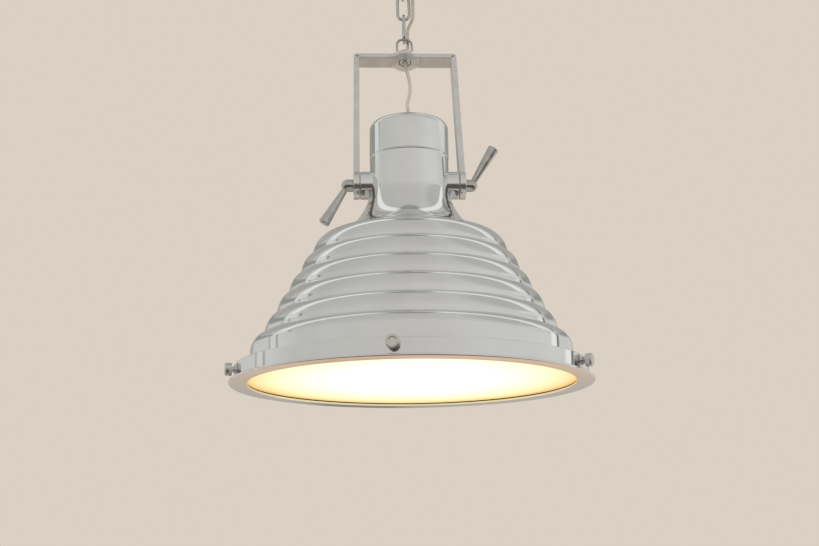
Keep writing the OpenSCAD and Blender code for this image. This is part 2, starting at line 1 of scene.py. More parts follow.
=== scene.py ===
"""Looks of an industrial pendant lamp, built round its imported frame.

A ribbed spun shade with a clamped lens ring tilts in a long yoke. The yoke hangs on a chain under a
ceiling canopy, and the cord follows the chain down into the cap. Sizes are millimetres in the classes
and metres in the meshes.
"""

from __future__ import annotations

import json
import logging
import math
from dataclasses import dataclass
from enum import Enum
from typing import ClassVar, Sequence

import bmesh
import bpy
import numpy as np
from mathutils import Matrix

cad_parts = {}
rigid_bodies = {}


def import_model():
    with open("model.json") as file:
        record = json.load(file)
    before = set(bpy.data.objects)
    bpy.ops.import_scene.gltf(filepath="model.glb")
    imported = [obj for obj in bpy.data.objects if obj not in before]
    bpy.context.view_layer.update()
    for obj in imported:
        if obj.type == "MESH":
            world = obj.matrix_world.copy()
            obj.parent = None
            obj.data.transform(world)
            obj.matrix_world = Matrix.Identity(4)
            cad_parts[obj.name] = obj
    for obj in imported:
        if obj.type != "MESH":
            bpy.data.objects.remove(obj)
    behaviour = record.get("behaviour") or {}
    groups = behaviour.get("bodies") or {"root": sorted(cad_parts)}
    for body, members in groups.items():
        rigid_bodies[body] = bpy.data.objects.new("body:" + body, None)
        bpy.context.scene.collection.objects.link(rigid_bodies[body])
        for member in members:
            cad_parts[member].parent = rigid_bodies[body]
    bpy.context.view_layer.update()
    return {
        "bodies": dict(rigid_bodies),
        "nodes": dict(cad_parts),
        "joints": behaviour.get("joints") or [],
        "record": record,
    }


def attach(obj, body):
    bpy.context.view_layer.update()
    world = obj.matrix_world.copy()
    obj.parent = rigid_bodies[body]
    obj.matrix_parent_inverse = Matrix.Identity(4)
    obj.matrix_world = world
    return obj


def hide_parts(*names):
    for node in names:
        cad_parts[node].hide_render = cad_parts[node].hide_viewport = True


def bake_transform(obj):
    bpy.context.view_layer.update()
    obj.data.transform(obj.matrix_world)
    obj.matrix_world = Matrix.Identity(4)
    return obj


MM = 0.001
MERGE_M = 1e-7
SLIVER_M = 1e-8
SAME_MM = 1e-6
LOG = logging.getLogger("pendant_lamp")
Profile = Sequence[tuple[float, float, float]]
Stops = Sequence[tuple[float, str]]


class Axis(Enum):
    """Axes to turn about, by their place in a point."""

    X = 0
    Y = 1
    Z = 2


class Body(str, Enum):
    """Names of the frame's moving bodies that carry new pieces."""

    CANOPY = "canopy"
    UPPER_LINK = "upper_link"
    LOWER_LINK = "lower_link"
    YOKE = "yoke"
    HEAD = "head"
    LENS_RING = "lens_ring"
    LEVER_LEFT = "lever_left"
    LEVER_RIGHT = "lever_right"
    THUMB_SCREW_1 = "thumb_screw_1"
    THUMB_SCREW_2 = "thumb_screw_2"
    THUMB_SCREW_3 = "thumb_screw_3"
    THUMB_SCREW_4 = "thumb_screw_4"
    THUMB_SCREW_5 = "thumb_screw_5"


class Slot(str, Enum):
    """Names of the record's material slots."""

    CHROMED_ALUMINIUM = "chromed_aluminium"
    CHROMED_STEEL = "chromed_steel"
    LENS = "frosted_lens"
    RUBBER = "black_rubber"
    CORD = "cord_sheath"


# Colour and nodes


def linear(code: str) -> tuple[float, float, float, float]:
    """Turn an sRGB hex colour into linear RGBA.

    Args:
        code: Six hex digits.

    Returns:
        Linear red, green and blue, and an alpha of 1.
    """
    srgb = np.array([int(code[i : i + 2], 16) for i in (0, 2, 4)]) / 255
    rgb = np.where(srgb <= 0.04045, srgb / 12.92, ((srgb + 0.055) / 1.055) ** 2.4)
    return (*(float(c) for c in rgb), 1.0)


def node(
    tree: bpy.types.NodeTree, kind: str, inputs: dict | None = None, stops: Stops = (), **settings: object
) -> bpy.types.bpy_prop_collection:
    """Add a node with its settings, and link or set its inputs.

    Args:
        tree: The node tree.
        kind: The node's type, less the opening words that all shader nodes share.
        inputs: Input name or index to a value or to another node's output socket.
        stops: Position and hex colour of each stop, for a colour ramp.
        settings: Properties of the node itself.

    Returns:
        The new node's outputs.
    """
    new = tree.nodes.new(f"ShaderNode{kind}")
    for key, value in settings.items():
        setattr(new, key, value)
    for key, value in (inputs or {}).items():
        if isinstance(value, bpy.types.NodeSocket):
            tree.links.new(value, new.inputs[key])
        else:
            new.inputs[key].default_value = value
    if stops:
        elements = new.color_ramp.elements
        while len(elements) < len(stops):
            elements.new(0.5)
        for element, (position, code) in zip(elements, stops):
            element.position = position
            element.color = linear(code)
    return new.outputs


@dataclass(frozen=True)
class Finish:
    """A surface finish that makes its material once."""

    name: str

    def material(self) -> bpy.types.Material:
        """Give the finish's material, made on first use.

        Returns:
            The material.
        """
        found = bpy.data.materials.get(self.name)
        if found:
            return found
        made = bpy.data.materials.new(self.name)
        made.use_nodes = True
        tree = made.node_tree
        tree.nodes.clear()
        shader = node(tree, "BsdfPrincipled", self.sockets(tree))
        node(tree, "OutputMaterial", {"Surface": shader["BSDF"]})
        return made

    def sockets(self, tree: bpy.types.NodeTree) -> dict:
        """Add the finish's pattern and give the shader's inputs."""
        raise NotImplementedError


@dataclass(frozen=True)
class PatternedFinish(Finish):
    """A finish whose colour, gloss and relief follow patterns."""

    bright: str
    dull: str
    roughness: tuple[float, float]
    tone_span: ClassVar[tuple[float, float]] = (0.3, 0.75)
    wear_span: ClassVar[tuple[float, float]] = (0.35, 0.7)

    def follow(
        self, tree: bpy.types.NodeTree, tone: bpy.types.NodeSocket, wear: bpy.types.NodeSocket, relief: dict
    ) -> dict:
        """Let patterns drive the shader.

        Args:
            tree: The material's node tree.
            tone: The pattern that takes the bright colour to the dull one over the tone's span.
            wear: The pattern that takes the lower roughness to the higher one over the wear's span.
            relief: Inputs of the bump.

        Returns:
            The shader's inputs for colour, roughness and normal.
        """
        limits = ("From Min", "From Max", "To Min", "To Max")
        span = dict(zip(limits, (*self.wear_span, *self.roughness)))
        colours = tuple(zip(self.tone_span, (self.bright, self.dull)))
        return {
            "Base Color": node(tree, "ValToRGB", {"Fac": tone}, colours)["Color"],
            "Roughness": node(tree, "MapRange", {"Value": wear, **span})["Result"],
            "Normal": node(tree, "Bump", relief)["Normal"],
        }


@dataclass(frozen=True)
class PlatedMetal(PatternedFinish):
    """Polished metal under bright plate: a mirror with faint wiping haze and long, shallow ripples."""

    haze_mm: float = 45.0
    ripple_mm: float = 60.0
    ripple_depth_mm: float = 0.4

    def sockets(self, tree: bpy.types.NodeTree) -> dict:
        """Haze varies colour and roughness; a wide noise bends the reflections a little.

        Args:
            tree: The material's node tree.

        Returns:
            The shader's inputs.
        """
        at = node(tree, "TexCoord")["Object"]
        fine = {"Vector": at, "Scale": 1 / (self.haze_mm * MM), "Detail": 5.0, "Roughness": 0.6}
        wide = {"Vector": at, "Scale": 1 / (self.ripple_mm * MM), "Detail": 1.0}
        haze, wave = (node(tree, "TexNoise", inputs)["Fac"] for inputs in (fine, wide))
        relief = {"Height": wave, "Strength": 1.0, "Distance": self.ripple_depth_mm * MM}
        return {**self.follow(tree, haze, haze, relief), "Metallic": 1.0}


@dataclass(frozen=True)
class SpunMetal(PatternedFinish):
    """Sheet spun on a lathe and plated: a mirror with fine rings that the roller left round its axis."""

    centre: tuple[float, float, float]
    lean: float
    ring_mm: float = 2.2
    ring_depth_mm: float = 0.2
    ring_relief: float = 0.06
    ring_wear: float = 0.35
    haze_mm: float = 71.43
    wear_span: ClassVar[tuple[float, float]] = (0.45, 0.9)

    def sockets(self, tree: bpy.types.NodeTree) -> dict:
        """Rings follow radius less height in the piece's own frame; drawn coarser than the roller's feed.

        Args:
            tree: The material's node tree.

        Returns:
            The shader's inputs.
        """
        at = node(tree, "TexCoord")["Object"]
        frame = {"Vector": at, "Location": self.centre, "Rotation": (math.radians(self.lean), 0, 0)}
        own = node(tree, "Mapping", frame, vector_type="TEXTURE")["Vector"]
        axes = node(tree, "SeparateXYZ", {"Vector": own})
        flat = node(tree, "CombineXYZ", {"X": axes["X"], "Y": axes["Y"]})["Vector"]
        radius = node(tree, "VectorMath", {0: flat}, operation="LENGTH")["Value"]
        along = node(tree, "Math", {0: radius, 1: axes["Z"]}, operation="SUBTRACT")["Value"]
        line = {"W": along, "Scale": 1 / (self.ring_mm * MM), "Detail": 2.0}
        rings = node(tree, "TexNoise", line, noise_dimensions="1D")["Fac"]
        cloud = {"Vector": own, "Scale": 1 / (self.haze_mm * MM), "Detail": 5.0}
        haze = node(tree, "TexNoise", cloud)["Fac"]
        both = {0: rings, 1: self.ring_wear, 2: haze}
        wear = node(tree, "Math", both, operation="MULTIPLY_ADD")["Value"]
        relief = {"Height": rings, "Strength": self.ring_relief, "Distance": self.ring_depth_mm * MM}
        return {**self.follow(tree, haze, wear, relief), "Metallic": 1.0}


@dataclass(frozen=True)
class GrainedSolid(PatternedFinish):
    """Moulded, glazed, drawn or painted material: one colour with a grain in tone, gloss and relief."""

    grain_mm: float
    relief_mm: float
    metal: bool = False
    ior: float = 1.5
    tone_span: ClassVar[tuple[float, float]] = (0.35, 0.7)
    wear_span: ClassVar[tuple[float, float]] = (0.3, 0.7)

    def sockets(self, tree: bpy.types.NodeTree) -> dict:
        """One noise at the grain's size drives tone, roughness and relief.

        Args:
            tree: The material's node tree.

        Returns:
            The shader's inputs.
        """
        at = node(tree, "TexCoord")["Object"]
        fine = {"Vector": at, "Scale": 1 / (self.grain_mm * MM), "Detail": 4.0}
        grain = node(tree, "TexNoise", fine)["Fac"]
        relief = {"Height": grain, "Strength": 0.5, "Distance": self.relief_mm * MM}
        kind = {"Metallic": 1.0} if self.metal else {"IOR": self.ior}
        return {**self.follow(tree, grain, grain, relief), **kind}


@dataclass(frozen=True)
class LitGlass(Finish):
    """Frosted glass with the lamp on behind it: white in the middle and warmer towards its rim."""

    stops: Stops
    strength: float
    centre: tuple[float, float, float]
    lean: float
    reach_mm: float
    stretch: float = 1.0
    frost_mm: float = 1.5
    frost_depth_mm: float = 0.1
    unlit: str = "2A2722"
    roughness: float = 0.35
    ior: float = 1.52

    def sockets(self, tree: bpy.types.NodeTree) -> dict:
        """The glow is a ramp over the distance from the glass's centre, with the frosting's fine grain on it.

        Args:
            tree: The material's node tree.

        Returns:
            The shader's inputs.
        """
        at = node(tree, "TexCoord")["Object"]
        reach = self.reach_mm * MM
        frame = {
            "Vector": at,
            "Location": self.centre,
            "Rotation": (math.radians(self.lean), 0, 0),
            "Scale": (reach, reach * self.stretch, reach),
        }
        own = node(tree, "Mapping", frame, vector_type="TEXTURE")["Vector"]
        radius = node(tree, "VectorMath", {0: own}, operation="LENGTH")["Value"]
        fine = {"Vector": at, "Scale": 1 / (self.frost_mm * MM), "Detail": 2.0}
        grain = node(tree, "TexNoise", fine)["Fac"]
        relief = {"Height": grain, "Strength": 0.2, "Distance": self.frost_depth_mm * MM}
        return {
            "Base Color": linear(self.unlit),
            "Roughness": self.roughness,
            "IOR": self.ior,
            "Normal": node(tree, "Bump", relief)["Normal"],
            "Emission Color": node(tree, "ValToRGB", {"Fac": radius}, self.stops)["Color"],
            "Emission Strength": self.strength,
        }


# Surfaces


def rounded(corners: Profile, steps: int = 5, closed: bool = True) -> np.ndarray:
    """Round the corners of a flat outline.

    A corner's arc touches both its sides: its centre lies on the bisector, its radius over the sine of
    the half angle away, and its points turn evenly from one touching point to the other.

    Args:
        corners: First and second coordinate and radius of each corner, in order.
        steps: Points on each arc, less one.
        closed: Whether the last corner joins the first. An open outline keeps its two ends.

    Returns:
        The outline's points, one row each.
    """
    table = np.asarray(corners, float)
    spot, radius = table[:, :2], np.maximum(table[:, 2], 0.02)
    back = np.roll(spot, 1, axis=0) - spot
    ahead = np.roll(spot, -1, axis=0) - spot
    back /= np.linalg.norm(back, axis=1, keepdims=True)
    ahead /= np.linalg.norm(ahead, axis=1, keepdims=True)
    half = np.arccos(np.clip((back * ahead).sum(axis=1), -1, 1)) / 2
    bisector = back + ahead
    bisector /= np.maximum(np.linalg.norm(bisector, axis=1, keepdims=True), 1e-9)
    centre = spot + bisector * (radius / np.sin(half))[:, None]
    reach = (radius / np.tan(half))[:, None]
    first, last = spot + back * reach - centre, spot + ahead * reach - centre
    turn = (np.pi - 2 * half)[:, None, None]
    t = np.linspace(0, 1, steps + 1)[None, :, None]
    spokes = np.sin((1 - t) * turn) * first[:, None] + np.sin(t * turn) * last[:, None]
    arcs = centre[:, None] + spokes / np.sin(turn)
    if closed:
        return arcs.reshape(-1, 2)
    return np.concatenate([spot[:1], arcs[1:-1].reshape(-1, 2), spot[-1:]])


def revolve(profile: np.ndarray, turns: int = 144) -> np.ndarray:
    """Carry a profile of radius and height once round the Z axis.

    Args:
        profile: Radius and height of each point.
        turns: Steps of the turn.

    Returns:
        A grid of points, turn by profile.
    """
    angle = np.linspace(0, 2 * np.pi, turns, endpoint=False)[:, None]
    radius, height = profile[:, 0], profile[:, 1]
    return np.stack([radius * np.cos(angle), radius * np.sin(angle), height + 0 * angle], axis=-1)


def sweep(path: np.ndarray, section: np.ndarray, across: Sequence[float], closed: bool = False) -> np.ndarray:
    """Carry a closed section along a path, square to it.

    The section's first axis is the cross product of a fixed direction and the path's direction, and its
    second completes the frame. An open path is closed by drawing both end sections into their middles.

    Args:
        path: Points of the path.
        section: Flat points of the section.
        across: The fixed direction, never along the path.
        closed: Whether the path returns to its start.

    Returns:
        A grid of points, path by section.
    """
    if closed:
        run = np.roll(path, -1, axis=0) - np.roll(path, 1, axis=0)
    else:
        run = np.gradient(path, axis=0)
    run = run / np.linalg.norm(run, axis=1, keepdims=True)
    side = np.cross(np.asarray(across, float)[None], run)
    side /= np.linalg.norm(side, axis=1, keepdims=True)
    other = np.cross(run, side)
    grid = path[:, None] + section[None, :, :1] * side[:, None] + section[None, :, 1:] * other[:, None]
    if closed:
        return grid
    ends = np.broadcast_to(path[[0, -1], None], (2, len(section), 3))
    return np.concatenate([ends[:1], grid, ends[1:]])


def circle(radius: float, sides: int = 24) -> np.ndarray:
    """Points of a circle about the origin."""
    angle = np.linspace(0, 2 * np.pi, sides, endpoint=False)
    return radius * np.stack([np.cos(angle), np.sin(angle)], axis=-1)


def along_x(grid: np.ndarray) -> np.ndarray:
    """Lay a piece that stands along +Z down along +X."""
    return np.stack([grid[..., 2], grid[..., 1], -grid[..., 0]], axis=-1)


def turned(points: np.ndarray, axis: Axis, degrees: float) -> np.ndarray:
    """Turn points about an axis, by a matrix of the angle's cosine and sine.

    Args:
        points: The points.
        axis: The axis, which the right hand's thumb follows.
        degrees: The angle.

    Returns:
        The turned points.
    """
    c, s = math.cos(math.radians(degrees)), math.sin(math.radians(degrees))
    next_two = [(axis.value + 1) % 3, (axis.value + 2) % 3]
    matrix = np.eye(3)
    matrix[np.ix_(next_two, next_two)] = [[c, -s], [s, c]]
    return points @ matrix.T


def surface(name: str, grids: Sequence[np.ndarray], wrap: bool = True) -> bpy.types.Object:
    """Make one object from grids of points that close round.

    Each square of a grid is one face. Points that fall together at poles and ends are merged, and a grid
    whose faces enclose a negative volume is turned outwards.

    Args:
        name: Name of the object.
        grids: Grids of points in millimetres, which all close in their first way.
        wrap: Whether the grids also close in their second way.

    Returns:
        The object, linked to the scene.
    """
    points, faces, start = [], [], 0
    for grid in grids:
        rows, cols = grid.shape[:2]
        i, j = np.meshgrid(np.arange(rows), np.arange(cols if wrap else cols - 1), indexing="ij")
        on, across = (i + 1) % rows, (j + 1) % cols
        quads = np.stack([i * cols + j, on * cols + j, on * cols + across, i * cols + across], axis=-1)
        quads = quads.reshape(-1, 4)
        flat = grid.reshape(-1, 3)
        a, b, c, d = (flat[quads[:, n]] for n in range(4))
        volume = (np.cross(a, b) * c).sum() + (np.cross(a, c) * d).sum()
        points.append(flat * MM)
        faces.append((quads if volume > 0 else quads[:, ::-1]) + start)
        start += len(flat)
    mesh = bpy.data.meshes.new(name)
    mesh.from_pydata(np.concatenate(points).tolist(), [], np.concatenate(faces).tolist())
    work = bmesh.new()
    work.from_mesh(mesh)
    bmesh.ops.remove_doubles(work, verts=work.verts, dist=MERGE_M)
    bmesh.ops.dissolve_degenerate(work, edges=work.edges, dist=SLIVER_M)
    work.to_mesh(mesh)
    work.free()
    mesh.polygons.foreach_set("use_smooth", np.ones(len(mesh.polygons), bool))
    made = bpy.data.objects.new(name, mesh)
    bpy.context.scene.collection.objects.link(made)
    return made


def fit(piece: bpy.types.Object, finish: Finish, body: Body, replaced: str) -> None:
    """Dress a piece, make its flats shade flat, and tie it to the frame.

    Args:
        piece: The piece.
        finish: Its finish.
        body: The body it moves with.
        replaced: The frame's node that it stands for.
    """
    piece.data.materials.append(finish.material())
    even = piece.modifiers.new("flat_faces", "WEIGHTED_NORMAL")
    even.keep_sharp = True
    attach(piece, body.value)
    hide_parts(replaced)
    LOG.info("%s: %d faces", piece.name, len(piece.data.polygons))


@dataclass(frozen=True)
class Stance:
    """How the lamp hangs, with the sizes that its sub-assemblies share.

    The yoke leans back from the loop, and the head tilts forward in it.
    """

    lean: float = 7.95
    tilt: float = 24.5
    loop_top: float = -142.55
    hang: float = 288.35
    canopy_h: float = 24.0
    yoke_w: float = 147.5
    yoke_h: float = 246.6
    cap_top: float = 86.0
    foot_r: float = 104.0
    foot_z: float = -72.0

    @property
    def head_lean(self) -> float:
        """Angle of the head's axis from upright, in degrees."""
        return self.tilt - self.lean

    @property
    def pivot(self) -> np.ndarray:
        """The middle of the pivot, in millimetres."""
        a = math.radians(self.lean)
        return np.array([0.0, -self.hang * math.sin(a), self.loop_top - self.hang * math.cos(a)])

    def head(self, points: np.ndarray) -> np.ndarray:
        """Move points from the head's frame to the lamp's."""
        return turned(points, Axis.X, self.head_lean) + self.pivot

    def yoke(self, points: np.ndarray) -> np.ndarray:
        """Move points from the yoke's frame to the lamp's."""
        return turned(points, Axis.X, -self.lean) + self.pivot

    def on_head(self, height: float) -> np.ndarray:
        """A point on the head's own axis."""
        return self.head(np.array([0.0, 0.0, height]))

    def on_yoke(self, height: float) -> np.ndarray:
        """A point on the yoke's own axis."""
        return self.yoke(np.array([0.0, 0.0, height]))

    def centre(self, y: float, z: float) -> tuple[float, ...]:
        """A point in the head's middle plane, in metres, for a pattern's centre."""
        return tuple(float(v) * MM for v in self.head(np.array([0.0, y, z])))


STANCE = Stance()
HEAD_FRAME = {"centre": STANCE.centre(0.0, 0.0), "lean": STANCE.head_lean}
SMALL_PIECE = {"roughness": (0.06, 0.12), "haze_mm": 10, "ripple_mm": 16}

# Aluminium spun over a former and plated: a clear mirror with faint rings
SPUN_CHROME = SpunMetal("spun_chromed_aluminium", "E8E9E9", "DEDFDE", (0.02, 0.05), **HEAD_FRAME)
# Cast, polished and plated aluminium: a clear mirror with slow waves
CAST_CHROME = PlatedMetal("cast_chromed_aluminium", "E9EAEA", "E1E1E0", (0.02, 0.05), ripple_mm=80)
# Pressed and plated sheet steel: a softer mirror, greyer where hands have wiped it
SHEET_CHROME = PlatedMetal("chromed_pressed_steel", "DEDCD8", "CAC7C1", (0.06, 0.13), haze_mm=30)
# Bar steel blasted before plating: an even, light sheen without clear reflections
BAR_CHROME = PlatedMetal("satin_chromed_bar_steel", "EAE9E6", "DAD8D4", (0.16, 0.24), haze_mm=25)
# Forged and plated steel: a darker mirror with short waves
LEVER_CHROME = PlatedMetal("forged_chromed_steel", "C8C7C3", "B4B1AB", **SMALL_PIECE)
# Drawn, bent and plated wire: a blurred, warm grey mirror
WIRE_CHROME = PlatedMetal("chromed_steel_wire", "D6D4D0", "BFBCB5", (0.10, 0.18), haze_mm=8, ripple_mm=12)
# Turned and plated steel: a mirror with short waves
TURNED_CHROME = PlatedMetal("turned_chromed_steel", "DDDCD8", "C8C5BE", **SMALL_PIECE)
# Extruded PVC: an even warm grey with a soft sheen
CORD_SHEATH = GrainedSolid("grey_pvc_cord_sheath", "BDB6AC", "AAA399", (0.38, 0.5), 3.0, 0.03)
# Moulded nitrile rubber: nearly black and dull
BLACK_RUBBER = GrainedSolid("black_nitrile_rubber", "1B1A19", "2A2826", (0.55, 0.75), 1.2, 0.05)
# Fired and glazed porcelain: white with sharp highlights
PORCELAIN = GrainedSolid("glazed_porcelain", "EFEDE6", "DDD9CF", (0.08, 0.16), 9.0, 0.05)
# Drawn brass: yellow with a soft shine
BRASS = GrainedSolid("drawn_brass", "C9A45A", "A9823E", (0.22, 0.36), 4.0, 0.02, metal=True)
# Zinc-plated steel: grey with a dull shine
ZINC = GrainedSolid("zinc_plated_steel", "B9BAB8", "9C9D9B", (0.28, 0.42), 3.0, 0.02, metal=True)
# Moulded polyamide: ivory and half dull
IVORY = GrainedSolid("moulded_ivory_polyamide", "DED6C0", "CFC6AE", (0.4, 0.52), 1.5, 0.03)
# Rolled paint: pale with slow changes of tone
FLOOR_PAINT = GrainedSolid("pale_floor_paint", "E6E0D6", "DED7CB", (0.6, 0.7), 120.0, 0.2)
# Sandblasted flat glass, lit: white over the bulb and amber at the rim
LENS_GLOW = LitGlass(
    "frosted_lens_glass",
    (
        (0.0, "FFFFFF"), (0.42, "FFFFFE"), (0.53, "FFFEF1"), (0.65, "FFFDE4"), (0.77, "FEFACC"),
        (0.86, "FDECB4"), (0.93, "FADC98"), (0.98, "E8BE72"),
    ),
    strength=1.0,
    centre=STANCE.centre(-18.0, -258.3),
    lean=STANCE.head_lean,
    reach_mm=212.0,
    stretch=1.12,
)
# Blown and etched bulb glass, lit: white with a warm edge
BULB_GLOW = LitGlass(
    "frosted_bulb_glass",
    ((0.0, "FFFFFF"), (0.6, "FFF4DC"), (1.0, "FFE3B0")),
    strength=2.5,
    centre=STANCE.centre(0.0, -75.0),
    lean=STANCE.head_lean,
    reach_mm=60.0,
)

# Ends of a mask in the room
OFF = "000000"
ON = "FFFFFF"


@dataclass
class Studio:
    """Camera, floor, room and lights."""

    focal_px: float = 1200.0
    width_px: float = 819.0
    sensor_mm: float = 36.0
    sight_m: float = 50.0
    back_mm: float = 1510.57
    below_mm: float = 480.84
    pitch: float = 13.501
    yaw: float = 2.527
    aim: float = -0.052
    roll: float = 0.694
    floor_mm: float = -2050.0
    floor_half_mm: float = 6000.0
    backdrop: str = "DAD0C3"
    # Soft boxes: name, place and side in metres, and watts
    boxes: tuple[tuple[str, tuple[float, float, float], float, float], ...] = (
        ("left_soft_box", (-1.9, -1.6, -0.1), 1.1, 14.0),
        ("right_soft_box", (2.0, -1.4, -0.3), 1.0, 10.0),
        ("top_soft_box", (0.0, -0.4, 1.1), 1.6, 16.0),
    )
    box_tint: str = "FFF6EA"
    box_aim_m: tuple[float, float, float] = (0.0, 0.0, -0.5)
    # Measures of a direction: name, operation and operands. x is to the right, y away from the viewer, z up
    measures: tuple[tuple, ...] = (
        ("ahead", "MULTIPLY", "y", -1.0),
        ("angle", "ARCTAN2", "x", "ahead"),
        ("turn", "MULTIPLY_ADD", "angle", 0.5 / math.pi, 0.5),
        ("depth", "MULTIPLY_ADD", "y", 0.5, 0.5),
        ("rise", "MULTIPLY_ADD", "z", 0.5, 0.5),
        ("side", "ABSOLUTE", "x"),
        ("slope", "MULTIPLY_ADD", "y", -0.2, "z"),
        ("sweep", "MULTIPLY_ADD", "z", 0.6, "y"),
        ("corner", "MULTIPLY", "x", "z"),
        ("tip", "MULTIPLY", "y", -0.2),
        ("top", "MULTIPLY_ADD", "z", 0.98, "tip"),
    )
    # Round the room in degrees, 0 towards the viewer and positive to their right
    walls: Stops = (
        (-180, "908A84"), (-178.4, "908A84"), (-177, "BAB5AE"), (-153, "BCB7B0"), (-147, "DADBD7"),
        (-117, "DADBD7"), (-115.8, "8A8A87"), (-114.6, "E4E4E0"), (-107.6, "E2E2DE"),
        (-106.2, "7C7C79"), (-104.8, "DCDDD9"), (-80, "CFD0CC"), (-45, "D0D1CD"), (-10, "D4D2CF"),
        (20, "D6D4D2"), (45, "DBDCDA"), (107.5, "E0E1DF"), (109, "FFFFFF"), (115.2, "FFFFFF"),
        (116.4, "7C7C79"), (118.6, "7C7C79"), (120, "DDDEDB"), (150, "DCDDDA"), (158, "BEBAB3"),
        (177, "BAB5AE"), (178.4, "908A84"), (180, "908A84"),
    )
    # The same way round, in a band under the ceiling
    eaves: Stops = (
        (-180, "A2A29E"), (-124, "A4A4A0"), (-116, "A6A6A2"), (-112, "EEF3EF"), (-96, "EAEFEB"),
        (-93, "8A8A87"), (-89, "D4D6D2"), (-45, "D0D1CD"), (-10, "D4D2CF"), (45, "DBDCDA"),
        (84, "E0E1DF"), (90, "ECECEA"), (116, "E8E8E6"), (128, "A6A6A2"), (180, "A2A29E"),
    )
    # From the viewer's feet at -1 to the far wall's foot at 1
    ground: Stops = (
        (-1.0, "5A544D"), (-0.75, "5C564F"), (-0.4, "6E665D"), (0.1, "857B70"), (0.55, "BAB0A4"),
        (0.85, "DBD1C6"), (1.0, "E6D8C8"),
    )
    # Two tints and the masks: name, measure and stops
    masks: tuple[tuple[str, str, Stops], ...] = (
        ("upper", "rise", ((0.0, "FFFDFC"), (0.6, "FFFDFC"), (0.75, "F4F3F2"), (1.0, "EDECEB"))),
        ("dusk", "corner", ((0.28, "FFFFFF"), (0.4, "EBEBEA"))),
        ("below", "rise", ((0.3, ON), (0.41, OFF))),
        ("low", "rise", ((0.52, OFF), (0.54, ON), (0.556, ON), (0.574, OFF))),
        ("high", "rise", ((0.735, OFF), (0.765, ON))),
        ("far", "depth", ((0.94, OFF), (0.98, ON))),
        ("aside", "side", ((0.12, OFF), (0.2, ON))),
        ("inner", "side", ((0.6, ON), (0.74, OFF))),
        ("strip", "sweep", ((0.4, OFF), (0.44, ON), (0.58, ON), (0.62, OFF))),
        ("rear", "sweep", ((0.64, OFF), (0.74, ON))),
        ("edge", "slope", ((0.345, OFF), (0.375, ON), (0.425, ON), (0.455, OFF))),
        ("zenith", "top", ((0.983, OFF), (0.993, ON))),
    )
    # What is laid over the walls in turn: blend, the masks that bound it, and a ramp's name or a colour
    layers: tuple[tuple[str, tuple[str, ...], str], ...] = (
        ("MULTIPLY", (), "dusk"),
        ("MIX", ("rear", "high", "inner"), "BCBBB7"),
        ("MIX", ("edge",), "eaves"),
        ("MULTIPLY", (), "upper"),
        ("MIX", ("below",), "ground"),
        ("MIX", ("low", "far"), "EFC9A8"),
        ("MIX", ("zenith",), "9E9E9B"),
        ("MIX", ("strip", "high", "aside"), "F8F7F4"),
    )

    def stand(self, thing: bpy.types.Object, axes: Sequence[np.ndarray], spot: Sequence[float]) -> None:
        """Stand an object in the scene.

        Args:
            thing: The object.
            axes: Directions of its own three axes.
            spot: Its place in metres.
        """
        place = Matrix.Identity(4)
        for n, axis in enumerate(axes):
            place.col[n][:3] = axis
        place.translation = spot
        thing.matrix_world = place
        bpy.context.scene.collection.objects.link(thing)

    def camera(self) -> None:
        """Place the camera where the head's outlines in the picture put it, in the head's frame."""
        a, e, k = (math.radians(v) for v in (self.yaw, self.pitch, self.roll))
        spot = np.array([-self.back_mm * math.sin(a), -self.back_mm * math.cos(a), -self.below_mm])
        a += math.radians(self.aim)
        look = np.array([math.sin(a) * math.cos(e), math.cos(a) * math.cos(e), math.sin(e)])
        right = np.array([math.cos(a), -math.sin(a), 0.0])
        up = np.cross(right, look)
        right, up = right * math.cos(k) - up * math.sin(k), up * math.cos(k) + right * math.sin(k)
        data = bpy.data.cameras.new("camera")
        data.lens = self.sensor_mm * self.focal_px / self.width_px
        data.sensor_width = self.sensor_mm
        data.clip_end = self.sight_m
        made = bpy.data.objects.new("camera", data)
        axes = turned(np.stack([right, up, -look]), Axis.X, STANCE.head_lean)
        self.stand(made, axes, STANCE.head(spot) * MM)
        bpy.context.scene.camera = made

    def floor(self) -> None:
        """Lay a wide pale floor well below the lamp. The plate mirrors the room's ground in its place."""
        square = np.array([(-1, -1), (1, -1), (1, 1), (-1, 1)]) * self.floor_half_mm
        spots = np.column_stack([square, np.full(4, self.floor_mm)]) * MM
        mesh = bpy.data.meshes.new("floor")
        mesh.from_pydata(spots.tolist(), [], [(0, 1, 2, 3)])
        made = bpy.data.objects.new("floor", mesh)
        made.data.materials.append(FLOOR_PAINT.material())
        made.visible_glossy = False
        bpy.context.scene.collection.objects.link(made)

